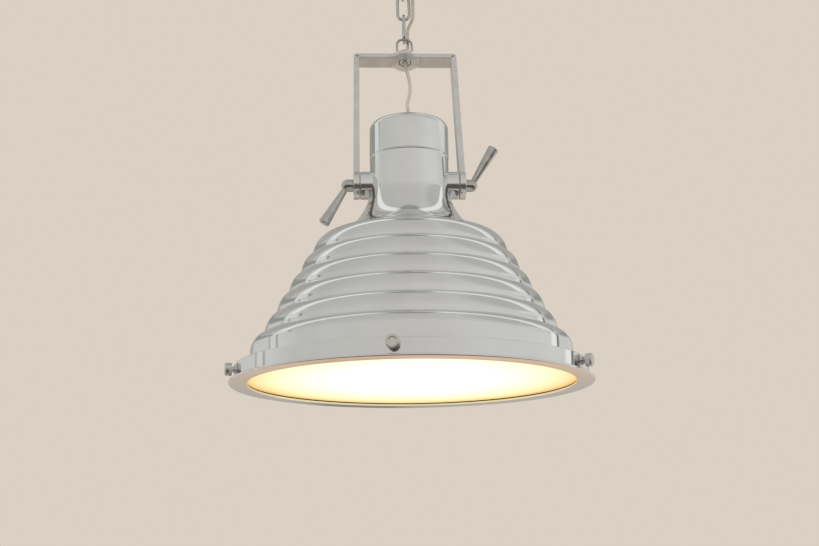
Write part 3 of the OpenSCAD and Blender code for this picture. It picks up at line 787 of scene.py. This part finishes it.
    def room(self) -> None:
        """Make the pale room that the plate mirrors, with a plain wall in its place for the camera.

        Walls and eaves are ramps over the angle round the room, and the ground is a ramp from the viewer
        to the far wall. A layer covers the product of its masks. After the walls come dusk at the upper
        right, the grey rear, the eaves, a dimmer height, the ground, a warm glow low on the far wall, the
        dark zenith and a light strip that crosses overhead.
        """
        world = bpy.data.worlds.new("room")
        bpy.context.scene.world = world
        world.use_nodes = True
        tree = world.node_tree
        tree.nodes.clear()
        way = node(tree, "TexCoord")["Generated"]
        axes = node(tree, "SeparateXYZ", {"Vector": way})
        found = {name.lower(): axes[name] for name in "XYZ"}
        for name, operation, *operands in self.measures:
            inputs = {n: found.get(value, value) for n, value in enumerate(operands)}
            found[name] = node(tree, "Math", inputs, operation=operation)["Value"]
        bands = (
            ("walls", "turn", [(at / 360 + 0.5, code) for at, code in self.walls]),
            ("eaves", "turn", [(at / 360 + 0.5, code) for at, code in self.eaves]),
            ("ground", "depth", [(at / 2 + 0.5, code) for at, code in self.ground]),
        )
        for name, measure, stops in (*bands, *self.masks):
            found[name] = node(tree, "ValToRGB", {"Fac": found[measure]}, stops)["Color"]
        whole = found["walls"]
        for blend, masks, cover in self.layers:
            share = 1.0
            for mask in masks:
                share = node(tree, "Math", {0: share, 1: found[mask]}, operation="MULTIPLY")["Value"]
            colour = found[cover] if cover in found else linear(cover)
            pair = {"Factor": share, "A": whole, "B": colour}
            whole = node(tree, "Mix", pair, data_type="RGBA", blend_type=blend)["Result"]
        shown = (whole, linear(self.backdrop))
        light, wall = (node(tree, "Background", {"Color": c, "Strength": 1.0})["Background"] for c in shown)
        seen = node(tree, "LightPath")["Is Camera Ray"]
        both = node(tree, "MixShader", {0: seen, 1: light, 2: wall})["Shader"]
        node(tree, "OutputWorld", {"Surface": both})

    def lights(self) -> None:
        """Hang two soft boxes beside the viewer and one overhead. Plate mirrors the room, not the boxes."""
        for name, spot, size, watts in self.boxes:
            data = bpy.data.lights.new(name, "AREA")
            data.shape = "SQUARE"
            data.size = size
            data.energy = watts
            data.color = linear(self.box_tint)[:3]
            made = bpy.data.objects.new(name, data)
            back = np.subtract(spot, self.box_aim_m)
            back = back / np.linalg.norm(back)
            right = np.cross([0.0, 0.0, 1.0], back)
            right = right / np.linalg.norm(right)
            self.stand(made, (right, np.cross(back, right), back), spot)
            made.visible_glossy = False

    def build(self) -> None:
        """Set up the whole studio."""
        self.camera()
        self.floor()
        self.room()
        self.lights()
        bpy.context.scene.view_settings.view_transform = "Standard"


@dataclass
class Cord:
    """The supply cord, in stretches that each run across one joint."""

    diameter: float = 4.5
    sides: int = 16
    grommet_x: float = 18.0
    block_y: float = 11.0
    tail_z: float = -8.5
    tail_r: float = 10.0
    side: float = 14.25
    inner: float = 5.4
    behind: float = 4.8
    link_hang: float = -104.85
    grommet_h: float = 3.0
    # The slack drop: share of the way from yoke to cap, and how far it lies to the right and behind
    wave: Profile = (
        (0, 1, 0), (0.12, 3.2, 3.5), (0.25, 4.8, 5.6), (0.39, 5.2, 6.2), (0.52, 4.4, 5.8),
        (0.65, 2.4, 4.5), (0.77, 0.2, 2.8), (0.88, -1, 1.8), (0.97, -0.6, 1.6),
    )

    def double_bend(self, a: Sequence[float], b: Sequence[float], steps: int) -> np.ndarray:
        """Points of a double bend that leaves one point and meets another in the same direction.

        Args:
            a: The first point.
            b: The last point.
            steps: Steps between them.

        Returns:
            The points, with both sideways moves eased in and out over an even fall.
        """
        t = np.linspace(0, 1, steps + 1)[:, None]
        ease = np.where(t < 0.5, 2 * t * t, 1 - 2 * (1 - t) ** 2)
        return np.asarray(a) + (np.asarray(b) - np.asarray(a)) * np.concatenate([ease, ease, t], axis=1)

    def routes(self) -> dict[str, np.ndarray]:
        """The points that each stretch follows.

        Returns:
            Points in millimetres, by the name of the stretch.
        """
        gx, hang, high, cap = self.grommet_x, self.link_hang, STANCE.yoke_h, STANCE.cap_top
        a = np.radians(np.arange(90, -1, -22.5))
        fall = self.tail_z - self.tail_r * (1 - np.sin(a))
        tail = np.stack([0 * a + gx, self.tail_r * (1 - np.cos(a)), fall], axis=-1)
        start, end = STANCE.on_yoke(high - 20), STANCE.on_head(cap + 20)
        share, right, behind = np.array(self.wave).T
        slack = start + share[:, None] * (end - start) + np.stack([right, behind, 0 * share], axis=-1)
        beside, below = [self.side, 0, hang + 17], [self.inner, self.behind, hang - 26]
        stretches = {
            "cord_top": [
                [[gx, self.block_y, self.tail_z]],
                tail,
                [[gx, 0, self.tail_z - self.tail_r - 1.8]],
                self.double_bend([gx, 0, -STANCE.canopy_h - 5], [self.side, 0, hang + 27], 5),
                [beside],
            ],
            "cord_mid": [
                [beside],
                self.double_bend([self.side, 0, hang + 10], [self.inner, self.behind, hang - 22], 8),
                [below],
            ],
            "cord_low": [
                [below],
                self.double_bend([self.inner, self.behind, STANCE.loop_top - 4], STANCE.on_yoke(high + 1), 8),
                [STANCE.on_yoke(high - 4)],
            ],
            "cord_drop": [
                [STANCE.on_yoke(high - 4), STANCE.on_yoke(high - 10)],
                slack,
                [STANCE.on_head(cap + 11), STANCE.on_head(cap + self.grommet_h)],
            ],
        }
        return {name: np.concatenate(parts) for name, parts in stretches.items()}

    def smooth(self, points: np.ndarray, step: float = 1.5, fine: int = 16) -> np.ndarray:
        """Run one smooth line through a route's points.

        Between two points the line is a cubic. Its slope at a point is the chord between the point's
        neighbours over the length of the two spans that meet there. Points are then taken at even lengths.

        Args:
            points: The route's points.
            step: Length between the points taken.
            fine: Steps on each cubic for measuring its length.

        Returns:
            Evenly spaced points of the line.
        """
        before = np.concatenate([points[:1] * 2 - points[1:2], points[:-1]])
        after = np.concatenate([points[1:], points[-1:] * 2 - points[-2:-1]])
        span = np.linalg.norm(np.diff(points, axis=0), axis=1)
        gap = np.concatenate([span[:1], span, span[-1:]])
        slope = (after - before) / (gap[:-1] + gap[1:])[:, None]
        t = np.linspace(0, 1, fine + 1)[None, :-1, None]
        p, q = points[:-1, None], points[1:, None]
        m, n = (slope[:-1] * span[:, None])[:, None], (slope[1:] * span[:, None])[:, None]
        ends = (2 * t**3 - 3 * t**2 + 1) * p + (3 * t**2 - 2 * t**3) * q
        line = ends + (t**3 - 2 * t**2 + t) * m + (t**3 - t**2) * n
        line = np.concatenate([line.reshape(-1, 3), points[-1:]])
        length = np.concatenate([[0], np.cumsum(np.linalg.norm(np.diff(line, axis=0), axis=1))])
        even = np.linspace(0, length[-1], max(8, int(length[-1] / step)))
        return np.stack([np.interp(even, length, line[:, n]) for n in range(3)], axis=-1)

    def build(self) -> None:
        """Make and dress the stretches, and hide the nodes that they stand for."""
        for name, points in self.routes().items():
            line = self.smooth(points)
            piece = surface(f"{name}_sheath", [sweep(line, circle(self.diameter / 2, self.sides), (1, 0, 0))])
            piece.data.materials.append(CORD_SHEATH.material())
            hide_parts(name)
            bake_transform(piece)


@dataclass
class Chain:
    """The two chain links between the canopy's eye and the yoke's loop."""

    eye_stem: float = 22.0
    wire: float = 4.5
    link_w: float = 21.5
    link_inner: float = 42.0
    gap: float = 0.15
    bend_points: int = 25
    straight_points: int = 12

    @property
    def line_r(self) -> float:
        """Radius of a link's end along its wire's middle."""
        return (self.link_w - self.wire) / 2

    @property
    def line_l(self) -> float:
        """Length of a link along its wire's middle."""
        return self.link_inner + self.wire

    def link(self, middle: float, degrees: float) -> np.ndarray:
        """A closed wire link: two half circles joined by straights, carried round by the wire's section.

        Args:
            middle: Height of the link's middle.
            degrees: How far it is turned about its length from lying across the viewer's sight.

        Returns:
            The link's grid.
        """
        straight = self.line_l / 2 - self.line_r
        a = np.linspace(0, np.pi, self.bend_points)
        run = np.linspace(straight, -straight, self.straight_points)[1:-1]
        end = np.stack([self.line_r * np.cos(a), 0 * a, self.line_r * np.sin(a) + straight], axis=-1)
        down = np.stack([0 * run - self.line_r, 0 * run, run], axis=-1)
        half = np.concatenate([end, down])
        path = np.concatenate([half, half * [-1, 1, -1]])
        grid = sweep(path, circle(self.wire / 2), (0, 1, 0), closed=True)
        return turned(grid, Axis.Z, degrees) + [0, 0, middle]

    def build(self) -> None:
        """Make the links."""
        first = -STANCE.canopy_h - self.eye_stem - 2 * self.line_r
        drop = self.wire + self.gap
        upper = first + drop - self.line_l / 2
        lower = first + 2 * drop - self.line_l * 1.5
        pieces = (("upper", upper, 0, Body.UPPER_LINK), ("lower", lower, 90, Body.LOWER_LINK))
        for name, middle, degrees, body in pieces:
            made = surface(f"chain_link_{name}_wire", [self.link(middle, degrees)])
            fit(made, WIRE_CHROME, body, f"chain_link_{name}")


@dataclass
class Yoke:
    """The long flat-bar yoke with its boss, eyes and hanging loop."""

    thick: float = 8.0
    bar: float = 21.0
    corner: float = 4.0
    eye_d: float = 37.0
    boss_d: float = 36.0
    boss_lap: float = 0.5
    fillet: float = 20.0
    bore: float = 7.4
    bush_d: float = 12.1
    edge: float = 0.8
    loop_w: float = 25.0
    loop_h: float = 43.5
    loop_wire: float = 3.5
    loop_foot: float = 0.6
    base_d: float = 30.0
    base_h: float = 5.0
    spigot_d: float = 14.0
    spigot_l: float = 5.0
    proud: float = 0.03
    turns: int = 96
    boss_points: int = 192
    bend_points: int = 33
    leg_points: int = 8

    @property
    def boss_reach(self) -> float:
        """Half the length of the boss along the bar, to where its fillets meet the bar's sides."""
        return math.sqrt((self.boss_d / 2 + self.fillet) ** 2 - (self.bar / 2 + self.fillet) ** 2)

    def half_bar(self, side: int) -> np.ndarray:
        """Half of the bent bar: a rounded rectangle carried up one leg and along the top to the boss.

        Args:
            side: -1 for the left half and 1 for the right one.

        Returns:
            The half's grid.
        """
        half, mid = (STANCE.yoke_w - self.thick) / 2, self.thick / 2
        turn = max(self.corner - mid, 0.6)
        top, end = STANCE.yoke_h - mid, self.boss_reach - self.boss_lap
        path = rounded([(half, 0, 0), (half, top, turn), (end, top, 0)], steps=6, closed=False)
        path = np.stack([side * path[:, 0], 0 * path[:, 0], path[:, 1]], axis=-1)
        t, b, e = self.thick / 2, self.bar / 2, self.edge
        section = rounded([(-t, -b, e), (t, -b, e), (t, b, e), (-t, b, e)], steps=4)
        return sweep(path, section, (0, 1, 0))

    def boss(self) -> np.ndarray:
        """The boss in the bar: its outline's radius by angle, carried over rounded upper and lower edges.

        By angle, the outline is the boss's circle, the hollow fillets that join it to the bar, or its end.

        Returns:
            The boss's grid.
        """
        side, r, f = self.bar / 2, self.boss_d / 2, self.fillet
        reach = self.boss_reach
        angle = np.linspace(0, 2 * np.pi, self.boss_points, endpoint=False)
        c, s = np.abs(np.cos(angle)), np.abs(np.sin(angle))
        join = math.atan2(side + f, reach)
        tip = math.atan2(side, reach)
        fold = np.arctan2(s, c)
        along = c * reach + s * (side + f)
        hollow = along - np.sqrt(np.maximum(along**2 - (reach**2 + (side + f) ** 2 - f**2), 0))
        outline = np.where(fold >= join, r, np.where(fold >= tip, hollow, reach / np.maximum(c, 1e-6)))
        low, high = STANCE.yoke_h - self.thick - self.proud, STANCE.yoke_h + self.proud
        rings = rounded([(0, low, 0.3), (1, low, self.edge), (1, high, self.edge), (0, high, 0.3)], steps=4)
        inner = self.bore / 2
        wide = rings[:, 0][None] * (outline[:, None] - inner) + inner
        x, y = wide * np.cos(angle)[:, None], wide * np.sin(angle)[:, None]
        return np.stack([x, y, 0 * wide + rings[:, 1]], axis=-1)

    def eye(self, side: int) -> np.ndarray:
        """One pivot eye: a bored disc with broken edges, turned about the pivot's axis.

        Args:
            side: -1 for the left eye and 1 for the right one.

        Returns:
            The eye's grid.
        """
        r, b, w = self.eye_d / 2, self.bush_d / 2, STANCE.yoke_w / 2
        ring = rounded([(b, w - self.thick, 0.4), (r, w - self.thick, 0.8), (r, w, 0.8), (b, w, 0.4)])
        return turned(along_x(revolve(ring, self.turns)), Axis.Z, 0 if side > 0 else 180)

    def loop(self) -> list[np.ndarray]:
        """The hanging loop: a bent wire on a conical base with a spigot, bored for the cord.

        Returns:
            Grids of the wire and the base.
        """
        r = (self.loop_w - self.loop_wire) / 2
        rise = self.loop_h - self.loop_wire / 2 - r
        a = np.linspace(np.pi, 0, self.bend_points)
        legs = np.linspace(self.loop_foot, rise, self.leg_points)[:-1]
        left = np.stack([0 * legs - r, 0 * legs, legs], axis=-1)
        bend = np.stack([r * np.cos(a), 0 * a, r * np.sin(a) + rise], axis=-1)
        path = np.concatenate([left, bend, left[::-1] * [-1, 1, 1]])
        wire = sweep(path, circle(self.loop_wire / 2), (0, 1, 0))
        bore, spigot, base = self.bore / 2, self.spigot_d / 2, self.base_d / 2
        foot = rounded(
            [
                (bore, -self.spigot_l, 0.3),
                (spigot, -self.spigot_l, 0.3),
                (spigot, 0.0, 0.1),
                (base, 0.0, 0.3),
                (base - 1, self.base_h, 1.2),
                (bore, self.base_h, 0.8),
            ]
        )
        return [grid + [0, 0, STANCE.yoke_h] for grid in (wire, revolve(foot, self.turns))]

    def build(self) -> None:
        """Make the yoke and the loop."""
        grids = [self.half_bar(-1), self.half_bar(1), self.boss(), self.eye(-1), self.eye(1)]
        made = surface("yoke_bar", [STANCE.yoke(g) for g in grids])
        fit(made, BAR_CHROME, Body.YOKE, "yoke")
        made = surface("hanging_loop_wire", [STANCE.yoke(g) for g in self.loop()])
        fit(made, WIRE_CHROME, Body.YOKE, "hanging_loop")


@dataclass
class Head:
    """Neck casting with its pivot barrels, and the top cap."""

    neck_r: float = 51.85
    neck_wall: float = 4.15
    cap_r: float = 52.2
    cap_round: float = 10.0
    cap_wall: float = 2.0
    seam: float = 37.0
    seam_gap: float = 0.12
    collar: float = 1.2
    spigot_h: float = 16.0
    spigot_gap: float = 0.2
    flare_top: float = -8.0
    flare_power: float = 0.8
    flare_points: int = 41
    foot_w: float = 24.0
    foot_edge: float = 1.0
    barrel_d: float = 37.0
    barrel_root: float = 45.5
    barrel_hollow: float = 49.0
    barrel_end: float = 64.55
    stud_bore: float = 4.05
    grommet_r: float = 5.3
    turns: int = 192
    barrel_turns: int = 96

    def flare(self, r0: float, r1: float, z1: float) -> np.ndarray:
        """A hollow flare from the upright neck down to the foot.

        The height falls with the sine of a quarter turn, and the radius grows with a power of one less
        its cosine.

        Args:
            r0: Radius at the top.
            r1: Radius at the foot.
            z1: Height of the foot.

        Returns:
            Radius and height of each point, downwards.
        """
        t = np.linspace(0, np.pi / 2, self.flare_points)
        wide = r0 + (r1 - r0) * (1 - np.cos(t)) ** self.flare_power
        return np.stack([wide, self.flare_top - (self.flare_top - z1) * np.sin(t)], axis=-1)

    def neck(self) -> list[np.ndarray]:
        """The neck's closed profile carried round, and the two barrels about the pivot's axis.

        Returns:
            Grids of the neck and the barrels.
        """
        inner = self.neck_r - self.neck_wall
        spigot = self.cap_r - self.cap_wall - self.spigot_gap
        top = self.seam + self.spigot_h
        collar_z = self.seam - self.collar
        # Up the outside from the flare, over the collar and the spigot, and down the bore
        upper = rounded(
            [
                (self.neck_r, self.flare_top, 0),
                (self.neck_r, collar_z - (self.cap_r - self.neck_r), 2.0),
                (self.cap_r, collar_z, 0.6),
                (self.cap_r, self.seam, 0.2),
                (spigot, self.seam, 0.1),
                (spigot, top, 0.5),
                (inner, top, 0.5),
                (inner, self.flare_top, 0),
            ],
            closed=False,
        )
        foot_r, foot_z = STANCE.foot_r, STANCE.foot_z
        outside = self.flare(self.neck_r, foot_r, foot_z + self.foot_edge)[:0:-1]
        bore = self.flare(inner, foot_r - self.foot_w, foot_z)[1:]
        profile = np.concatenate([[[foot_r, foot_z]], outside, upper, bore])
        r, b, end = self.barrel_d / 2, self.stud_bore, self.barrel_end
        root = [(b, self.barrel_hollow, 0.1), (r, self.barrel_root, 0.1)]
        barrel = rounded([*root, (r, end, 0.9), (b, end, 0.6)])
        right = along_x(revolve(barrel, self.barrel_turns))
        return [revolve(profile, self.turns), right, turned(right, Axis.Z, 180)]

    def cap(self) -> np.ndarray:
        """The cap's closed profile carried round.

        Returns:
            The cap's grid.
        """
        r, w, low, top = self.cap_r, self.cap_wall, self.seam + self.seam_gap, STANCE.cap_top
        profile = rounded(
            [
                (r, low, 0.25),
                (r, top, self.cap_round),
                (self.grommet_r, top, 0.3),
                (self.grommet_r, top - w, 0.2),
                (r - w, top - w, self.cap_round - w),
                (r - w, low, 0.2),
            ],
            steps=10,
        )
        return revolve(profile, self.turns)

    def build(self) -> None:
        """Make the neck and the cap."""
        made = surface("neck_casting", [STANCE.head(g) for g in self.neck()])
        fit(made, CAST_CHROME, Body.HEAD, "neck")
        made = surface("top_cap_spinning", [STANCE.head(self.cap())])
        fit(made, CAST_CHROME, Body.HEAD, "top_cap")


@dataclass
class Shade:
    """The ribbed spun shade."""

    hole_r: float = 76.0
    rib_first_r: float = 126.5
    rib_first_z: float = -100.0
    rib_last_r: float = 187.0
    rib_h: float = 26.4
    rib_count: int = 5
    drum_r: float = 204.0
    drum_z: float = -223.6
    rim_z: float = -254.6
    wall: float = 1.6
    turns: int = 288
    rib_points: int = 25

    def skin(self, inset: float) -> np.ndarray:
        """One skin of the wall: quarter-ellipse ribs, shoulder and drum, moved in and down by a thickness.

        Args:
            inset: How far the skin lies inside the outer one.

        Returns:
            Radius and height along the skin, from the crest to the rim.
        """
        n = np.arange(self.rib_count)
        r = self.rib_first_r + n * (self.rib_last_r - self.rib_first_r) / (self.rib_count - 1)
        z = self.rib_first_z - n * self.rib_h
        r = np.concatenate([[STANCE.foot_r], r, [self.drum_r]])
        z = np.concatenate([[STANCE.foot_z], z, [self.drum_z]])
        t = np.linspace(0, np.pi / 2, self.rib_points)[None]
        arc_r = r[:-1, None] + (r[1:] - r[:-1])[:, None] * np.sin(t)
        arc_z = z[1:, None] + (z[:-1] - z[1:])[:, None] * np.cos(t)
        skin = np.stack([arc_r, arc_z], axis=-1).reshape(-1, 2) - inset
        tail = np.array([[self.drum_r - inset, self.rim_z]])
        return np.concatenate([[[self.hole_r, STANCE.foot_z - inset]], skin, tail])

    def build(self) -> None:
        """Make the shade, without the points that fall together where two ribs meet."""
        profile = np.concatenate([self.skin(0.0), self.skin(self.wall)[::-1]])
        step = np.linalg.norm(profile - np.roll(profile, 1, axis=0), axis=1)
        made = surface("ribbed_shade_spinning", [STANCE.head(revolve(profile[step > SAME_MM], self.turns))])
        fit(made, SPUN_CHROME, Body.HEAD, "ribbed_shade")


@dataclass
class LensRing:
    """The lens ring with its bosses, the lit lens, its gasket and the thumb screws."""

    bottom: float = -264.8
    band_in: float = 219.6
    wall: float = 3.0
    height: float = 22.6
    flange_out: float = 7.4
    open_r: float = 207.6
    ring_turns: int = 288
    lens_r: float = 212.1
    lens_low: float = -260.3
    lens_t: float = 4.0
    lens_rings: int = 12
    gasket_toe: float = 1.0
    gasket_lip: float = 204.5
    gasket_skin: float = 0.8
    boss_d: float = 12.0
    boss_l: float = 6.5
    boss_proud: float = 1.0
    boss_edge: float = 1.2
    boss_turns: int = 64
    screw_d: float = 6.0
    screw_gap: float = 0.05
    screw_turn: float = -7.6
    screw_count: int = 5
    tip_r: float = 204.3
    shank_turns: int = 48
    washer_gap: float = 1.2
    washer_w: float = 1.5
    washer_t: float = 1.0
    knob_d: float = 16.0
    knob_l: float = 8.4
    knob_neck: float = 3.0
    knob_seat: float = 1.0
    knob_turns: int = 240
    dish_out: float = 0.62
    dish_in: float = 0.55
    dish_depth: float = 0.5
    knurl_count: int = 40
    knurl_from: float = 0.9
    knurl_depth: float = 0.018

    def at_screw(self, grid: np.ndarray, index: int) -> np.ndarray:
        """Move a piece from a radial axis along +X to one of the screws' places.

        Args:
            grid: The piece's grid.
            index: Which screw, from 0.

        Returns:
            The moved grid.
        """
        up = np.array([0, 0, self.bottom + self.height - self.boss_d / 2 - self.boss_edge])
        turn = self.screw_turn - 90 + 360 / self.screw_count * index
        return STANCE.head(turned(grid, Axis.Z, turn) + up)

    def ring(self) -> list[np.ndarray]:
        """The ring's closed profile carried round, and a boss through its band for each screw.

        Returns:
            Grids of the ring and the bosses.
        """
        low, out = self.bottom, self.band_in + self.wall
        profile = rounded(
            [
                (self.open_r, low, 0.5),
                (out + self.flange_out, low, 1.2),
                (out + self.flange_out, low + self.wall, 1.2),
                (out, low + self.wall, 1.0),
                (out, low + self.height, 0.9),
                (self.band_in, low + self.height, 0.9),
                (self.band_in, low + self.wall, 0.4),
                (self.open_r, low + self.wall, 0.4),
            ]
        )
        r, bore = self.boss_d / 2, self.screw_d / 2 + self.screw_gap
        inner, outer = self.band_in - self.boss_l, out + self.boss_proud
        boss = rounded([(bore, inner, 0.3), (r, inner, 0.5), (r, outer, 0.5), (bore, outer, 0.3)])
        boss = along_x(revolve(boss, self.boss_turns))
        bosses = [self.at_screw(boss, n) for n in range(self.screw_count)]
        return [STANCE.head(revolve(profile, self.ring_turns)), *bosses]

    def gasket(self) -> np.ndarray:
        """A rubber channel's closed profile carried round: under the lens, up its edge and over it.

        Returns:
            The gasket's grid.
        """
        under, low, top = self.bottom + self.wall, self.lens_low, self.lens_low + self.lens_t
        toe, lip, edge = self.open_r + self.gasket_toe, self.gasket_lip, self.lens_r
        far, high = edge + self.gasket_skin, top + self.gasket_skin
        outside = [(toe, under, 0.3), (far, under, 0.5), (far, high, 0.5), (lip, high, 0.3)]
        inside = [(lip, top, 0.2), (edge, top, 0.2), (edge, low, 0.2), (toe, low, 0.2)]
        return STANCE.head(revolve(rounded(outside + inside), self.ring_turns))

    def lens(self) -> np.ndarray:
        """The lens's profile carried round: two faces in rings, and a broken edge.

        Returns:
            The lens's grid.
        """
        r, low, top, count = self.lens_r, self.lens_low, self.lens_low + self.lens_t, self.lens_rings
        disc = rounded([(0, low, 0), (r, low, 0.6), (r, top, 0.6), (0, top, 0)], closed=False)
        lower, upper = np.linspace([0, low], disc[1], count), np.linspace(disc[-2], [0, top], count)
        return STANCE.head(revolve(np.concatenate([lower[:-1], disc[1:-1], upper[1:]])))

    def screw(self) -> list[np.ndarray]:
        """A thumb screw: a turned shank with a washer face, and a knob with straight knurling round it.

        The knurling takes a share from the radius, which the cosine of the angle times half its count sets.

        Returns:
            Grids of the shank and the knob, along +X.
        """
        start = self.band_in + self.wall + self.washer_gap
        neck = start + self.knob_neck
        face, seat = start + self.washer_t, neck + self.knob_seat
        r, w = self.screw_d / 2, self.screw_d / 2 + self.washer_w
        tip = [(0, self.tip_r, 0), (r, self.tip_r, 0.5), (r, start, 0.1)]
        washer = [(w, start, 0.2), (w, face, 0.2), (r, face, 0.2)]
        shank = rounded([*tip, *washer, (r, seat, 0.1), (0, seat, 0)], closed=False)
        k, end = self.knob_d / 2, neck + self.knob_l
        floor = end - self.dish_depth
        dish = [(k * self.dish_out, end, 0.5), (k * self.dish_in, floor, 0.4), (0, floor, 0)]
        knob = rounded([(0, neck, 0), (k, neck, 1.0), (k, end, 1.4), *dish], closed=False)
        grid = revolve(knob, self.knob_turns)
        angle = np.linspace(0, 2 * np.pi, self.knob_turns, endpoint=False)[:, None]
        near = np.clip((knob[:, 0] / k - self.knurl_from) / (1 - self.knurl_from), 0, 1)
        groove = 1 - np.abs(np.cos(self.knurl_count / 2 * angle))
        grid[..., :2] *= (1 - self.knurl_depth * near * groove)[..., None]
        return [along_x(revolve(shank, self.shank_turns)), along_x(grid)]

    def build(self) -> None:
        """Make the ring, the lens, its gasket and the screws."""
        made = surface("lens_ring_spinning", self.ring())
        fit(made, SPUN_CHROME, Body.LENS_RING, "lens_ring")
        made = surface("lens_disc", [self.lens()], wrap=False)
        fit(made, LENS_GLOW, Body.LENS_RING, "lens")
        made = surface("lens_gasket_moulded", [self.gasket()])
        fit(made, BLACK_RUBBER, Body.LENS_RING, "lens_gasket")
        for n in range(self.screw_count):
            name = f"thumb_screw_{n + 1}"
            made = surface(f"{name}_turned", [self.at_screw(g, n) for g in self.screw()], wrap=False)
            fit(made, TURNED_CHROME, Body(name), name)


@dataclass
class ClampLever:
    """One clamp lever: a ball-nosed hub and a tapered handle."""

    name: str
    body: Body
    half_turn: bool
    seat: float = 0.2
    hub_d: float = 16.4
    hub_l: float = 15.0
    handle_l: float = 60.5
    root_d: float = 7.0
    end_d: float = 14.8
    angle: float = 59.0
    turns: int = 72
    ball_points: int = 25

    def grids(self) -> list[np.ndarray]:
        """Hub and handle profiles carried round their own axes, the handle then turned outwards.

        Returns:
            Grids of the hub and the handle.
        """
        mid, r = self.hub_l / 2 + self.seat, self.hub_d / 2
        a = np.linspace(0, np.pi / 2, self.ball_points)
        ball = np.stack([r * np.cos(a), mid + r * np.sin(a)], axis=-1)
        face = [(0, self.seat, 0), (r, self.seat, 0.8), (r, mid, 0.02), (r - 1, mid + 1, 0)]
        hub = np.concatenate([rounded(face, closed=False)[:-2], ball[1:]])
        hub[-1, 0] = 0
        root, end, long = self.root_d / 2, self.end_d / 2, self.handle_l
        handle = rounded([(0, 0, 0), (root, 0, 0.5), (end, long, 1.6), (0, long, 0)], closed=False)
        arm = turned(revolve(handle, self.turns), Axis.Y, 90 - self.angle) + [mid, 0, 0]
        out, turn = [STANCE.yoke_w / 2, 0, 0], 180 if self.half_turn else 0
        return [STANCE.head(turned(g + out, Axis.Y, turn)) for g in (along_x(revolve(hub, self.turns)), arm)]

    def build(self) -> None:
        """Make the lever."""
        made = surface(f"{self.name}_turned", self.grids(), wrap=False)
        fit(made, LEVER_CHROME, self.body, self.name)


@dataclass
class FramePieces:
    """Nodes whose solids show as they are, by the finish that they get."""

    finishes: tuple[tuple[Finish, tuple[str, ...]], ...] = (
        (SHEET_CHROME, ("ceiling_canopy",)),
        (WIRE_CHROME, ("canopy_eye",)),
        (ZINC, ("eye_nut", "pivot_washer_left", "pivot_washer_right", "holder_bridge", "holder_screws")),
        (ZINC, ("shade_screws", "clamp_stud_left", "clamp_stud_right")),
        (BLACK_RUBBER, ("canopy_grommet", "cap_grommet", "rim_gasket")),
        (IVORY, ("terminal_block",)),
        (BRASS, ("pivot_bush_left", "pivot_bush_right", "holder_shell", "centre_contact", "bulb_cap")),
        (CORD_SHEATH, ("supply_lead",)),
        (PORCELAIN, ("lamp_holder",)),
        (BULB_GLOW, ("bulb_glass",)),
    )

    def build(self, nodes: dict[str, bpy.types.Object]) -> None:
        """Give each node its finish.

        Args:
            nodes: The frame's nodes by name.
        """
        for finish, names in self.finishes:
            for name in names:
                slots = nodes[name].data.materials
                slots.clear()
                slots.append(finish.material())
                LOG.info("%s: %s", name, finish.name)


def main() -> None:
    """Load the frame and build the lamp's pieces in order."""
    logging.basicConfig(level=logging.INFO, format="%(name)s: %(message)s")
    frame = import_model()
    Studio().build()
    Cord().build()
    Chain().build()
    Yoke().build()
    Head().build()
    Shade().build()
    LensRing().build()
    ClampLever("clamp_lever_left", Body.LEVER_LEFT, half_turn=True).build()
    ClampLever("clamp_lever_right", Body.LEVER_RIGHT, half_turn=False).build()
    FramePieces().build(frame["nodes"])


if __name__ == "__main__":
    main()
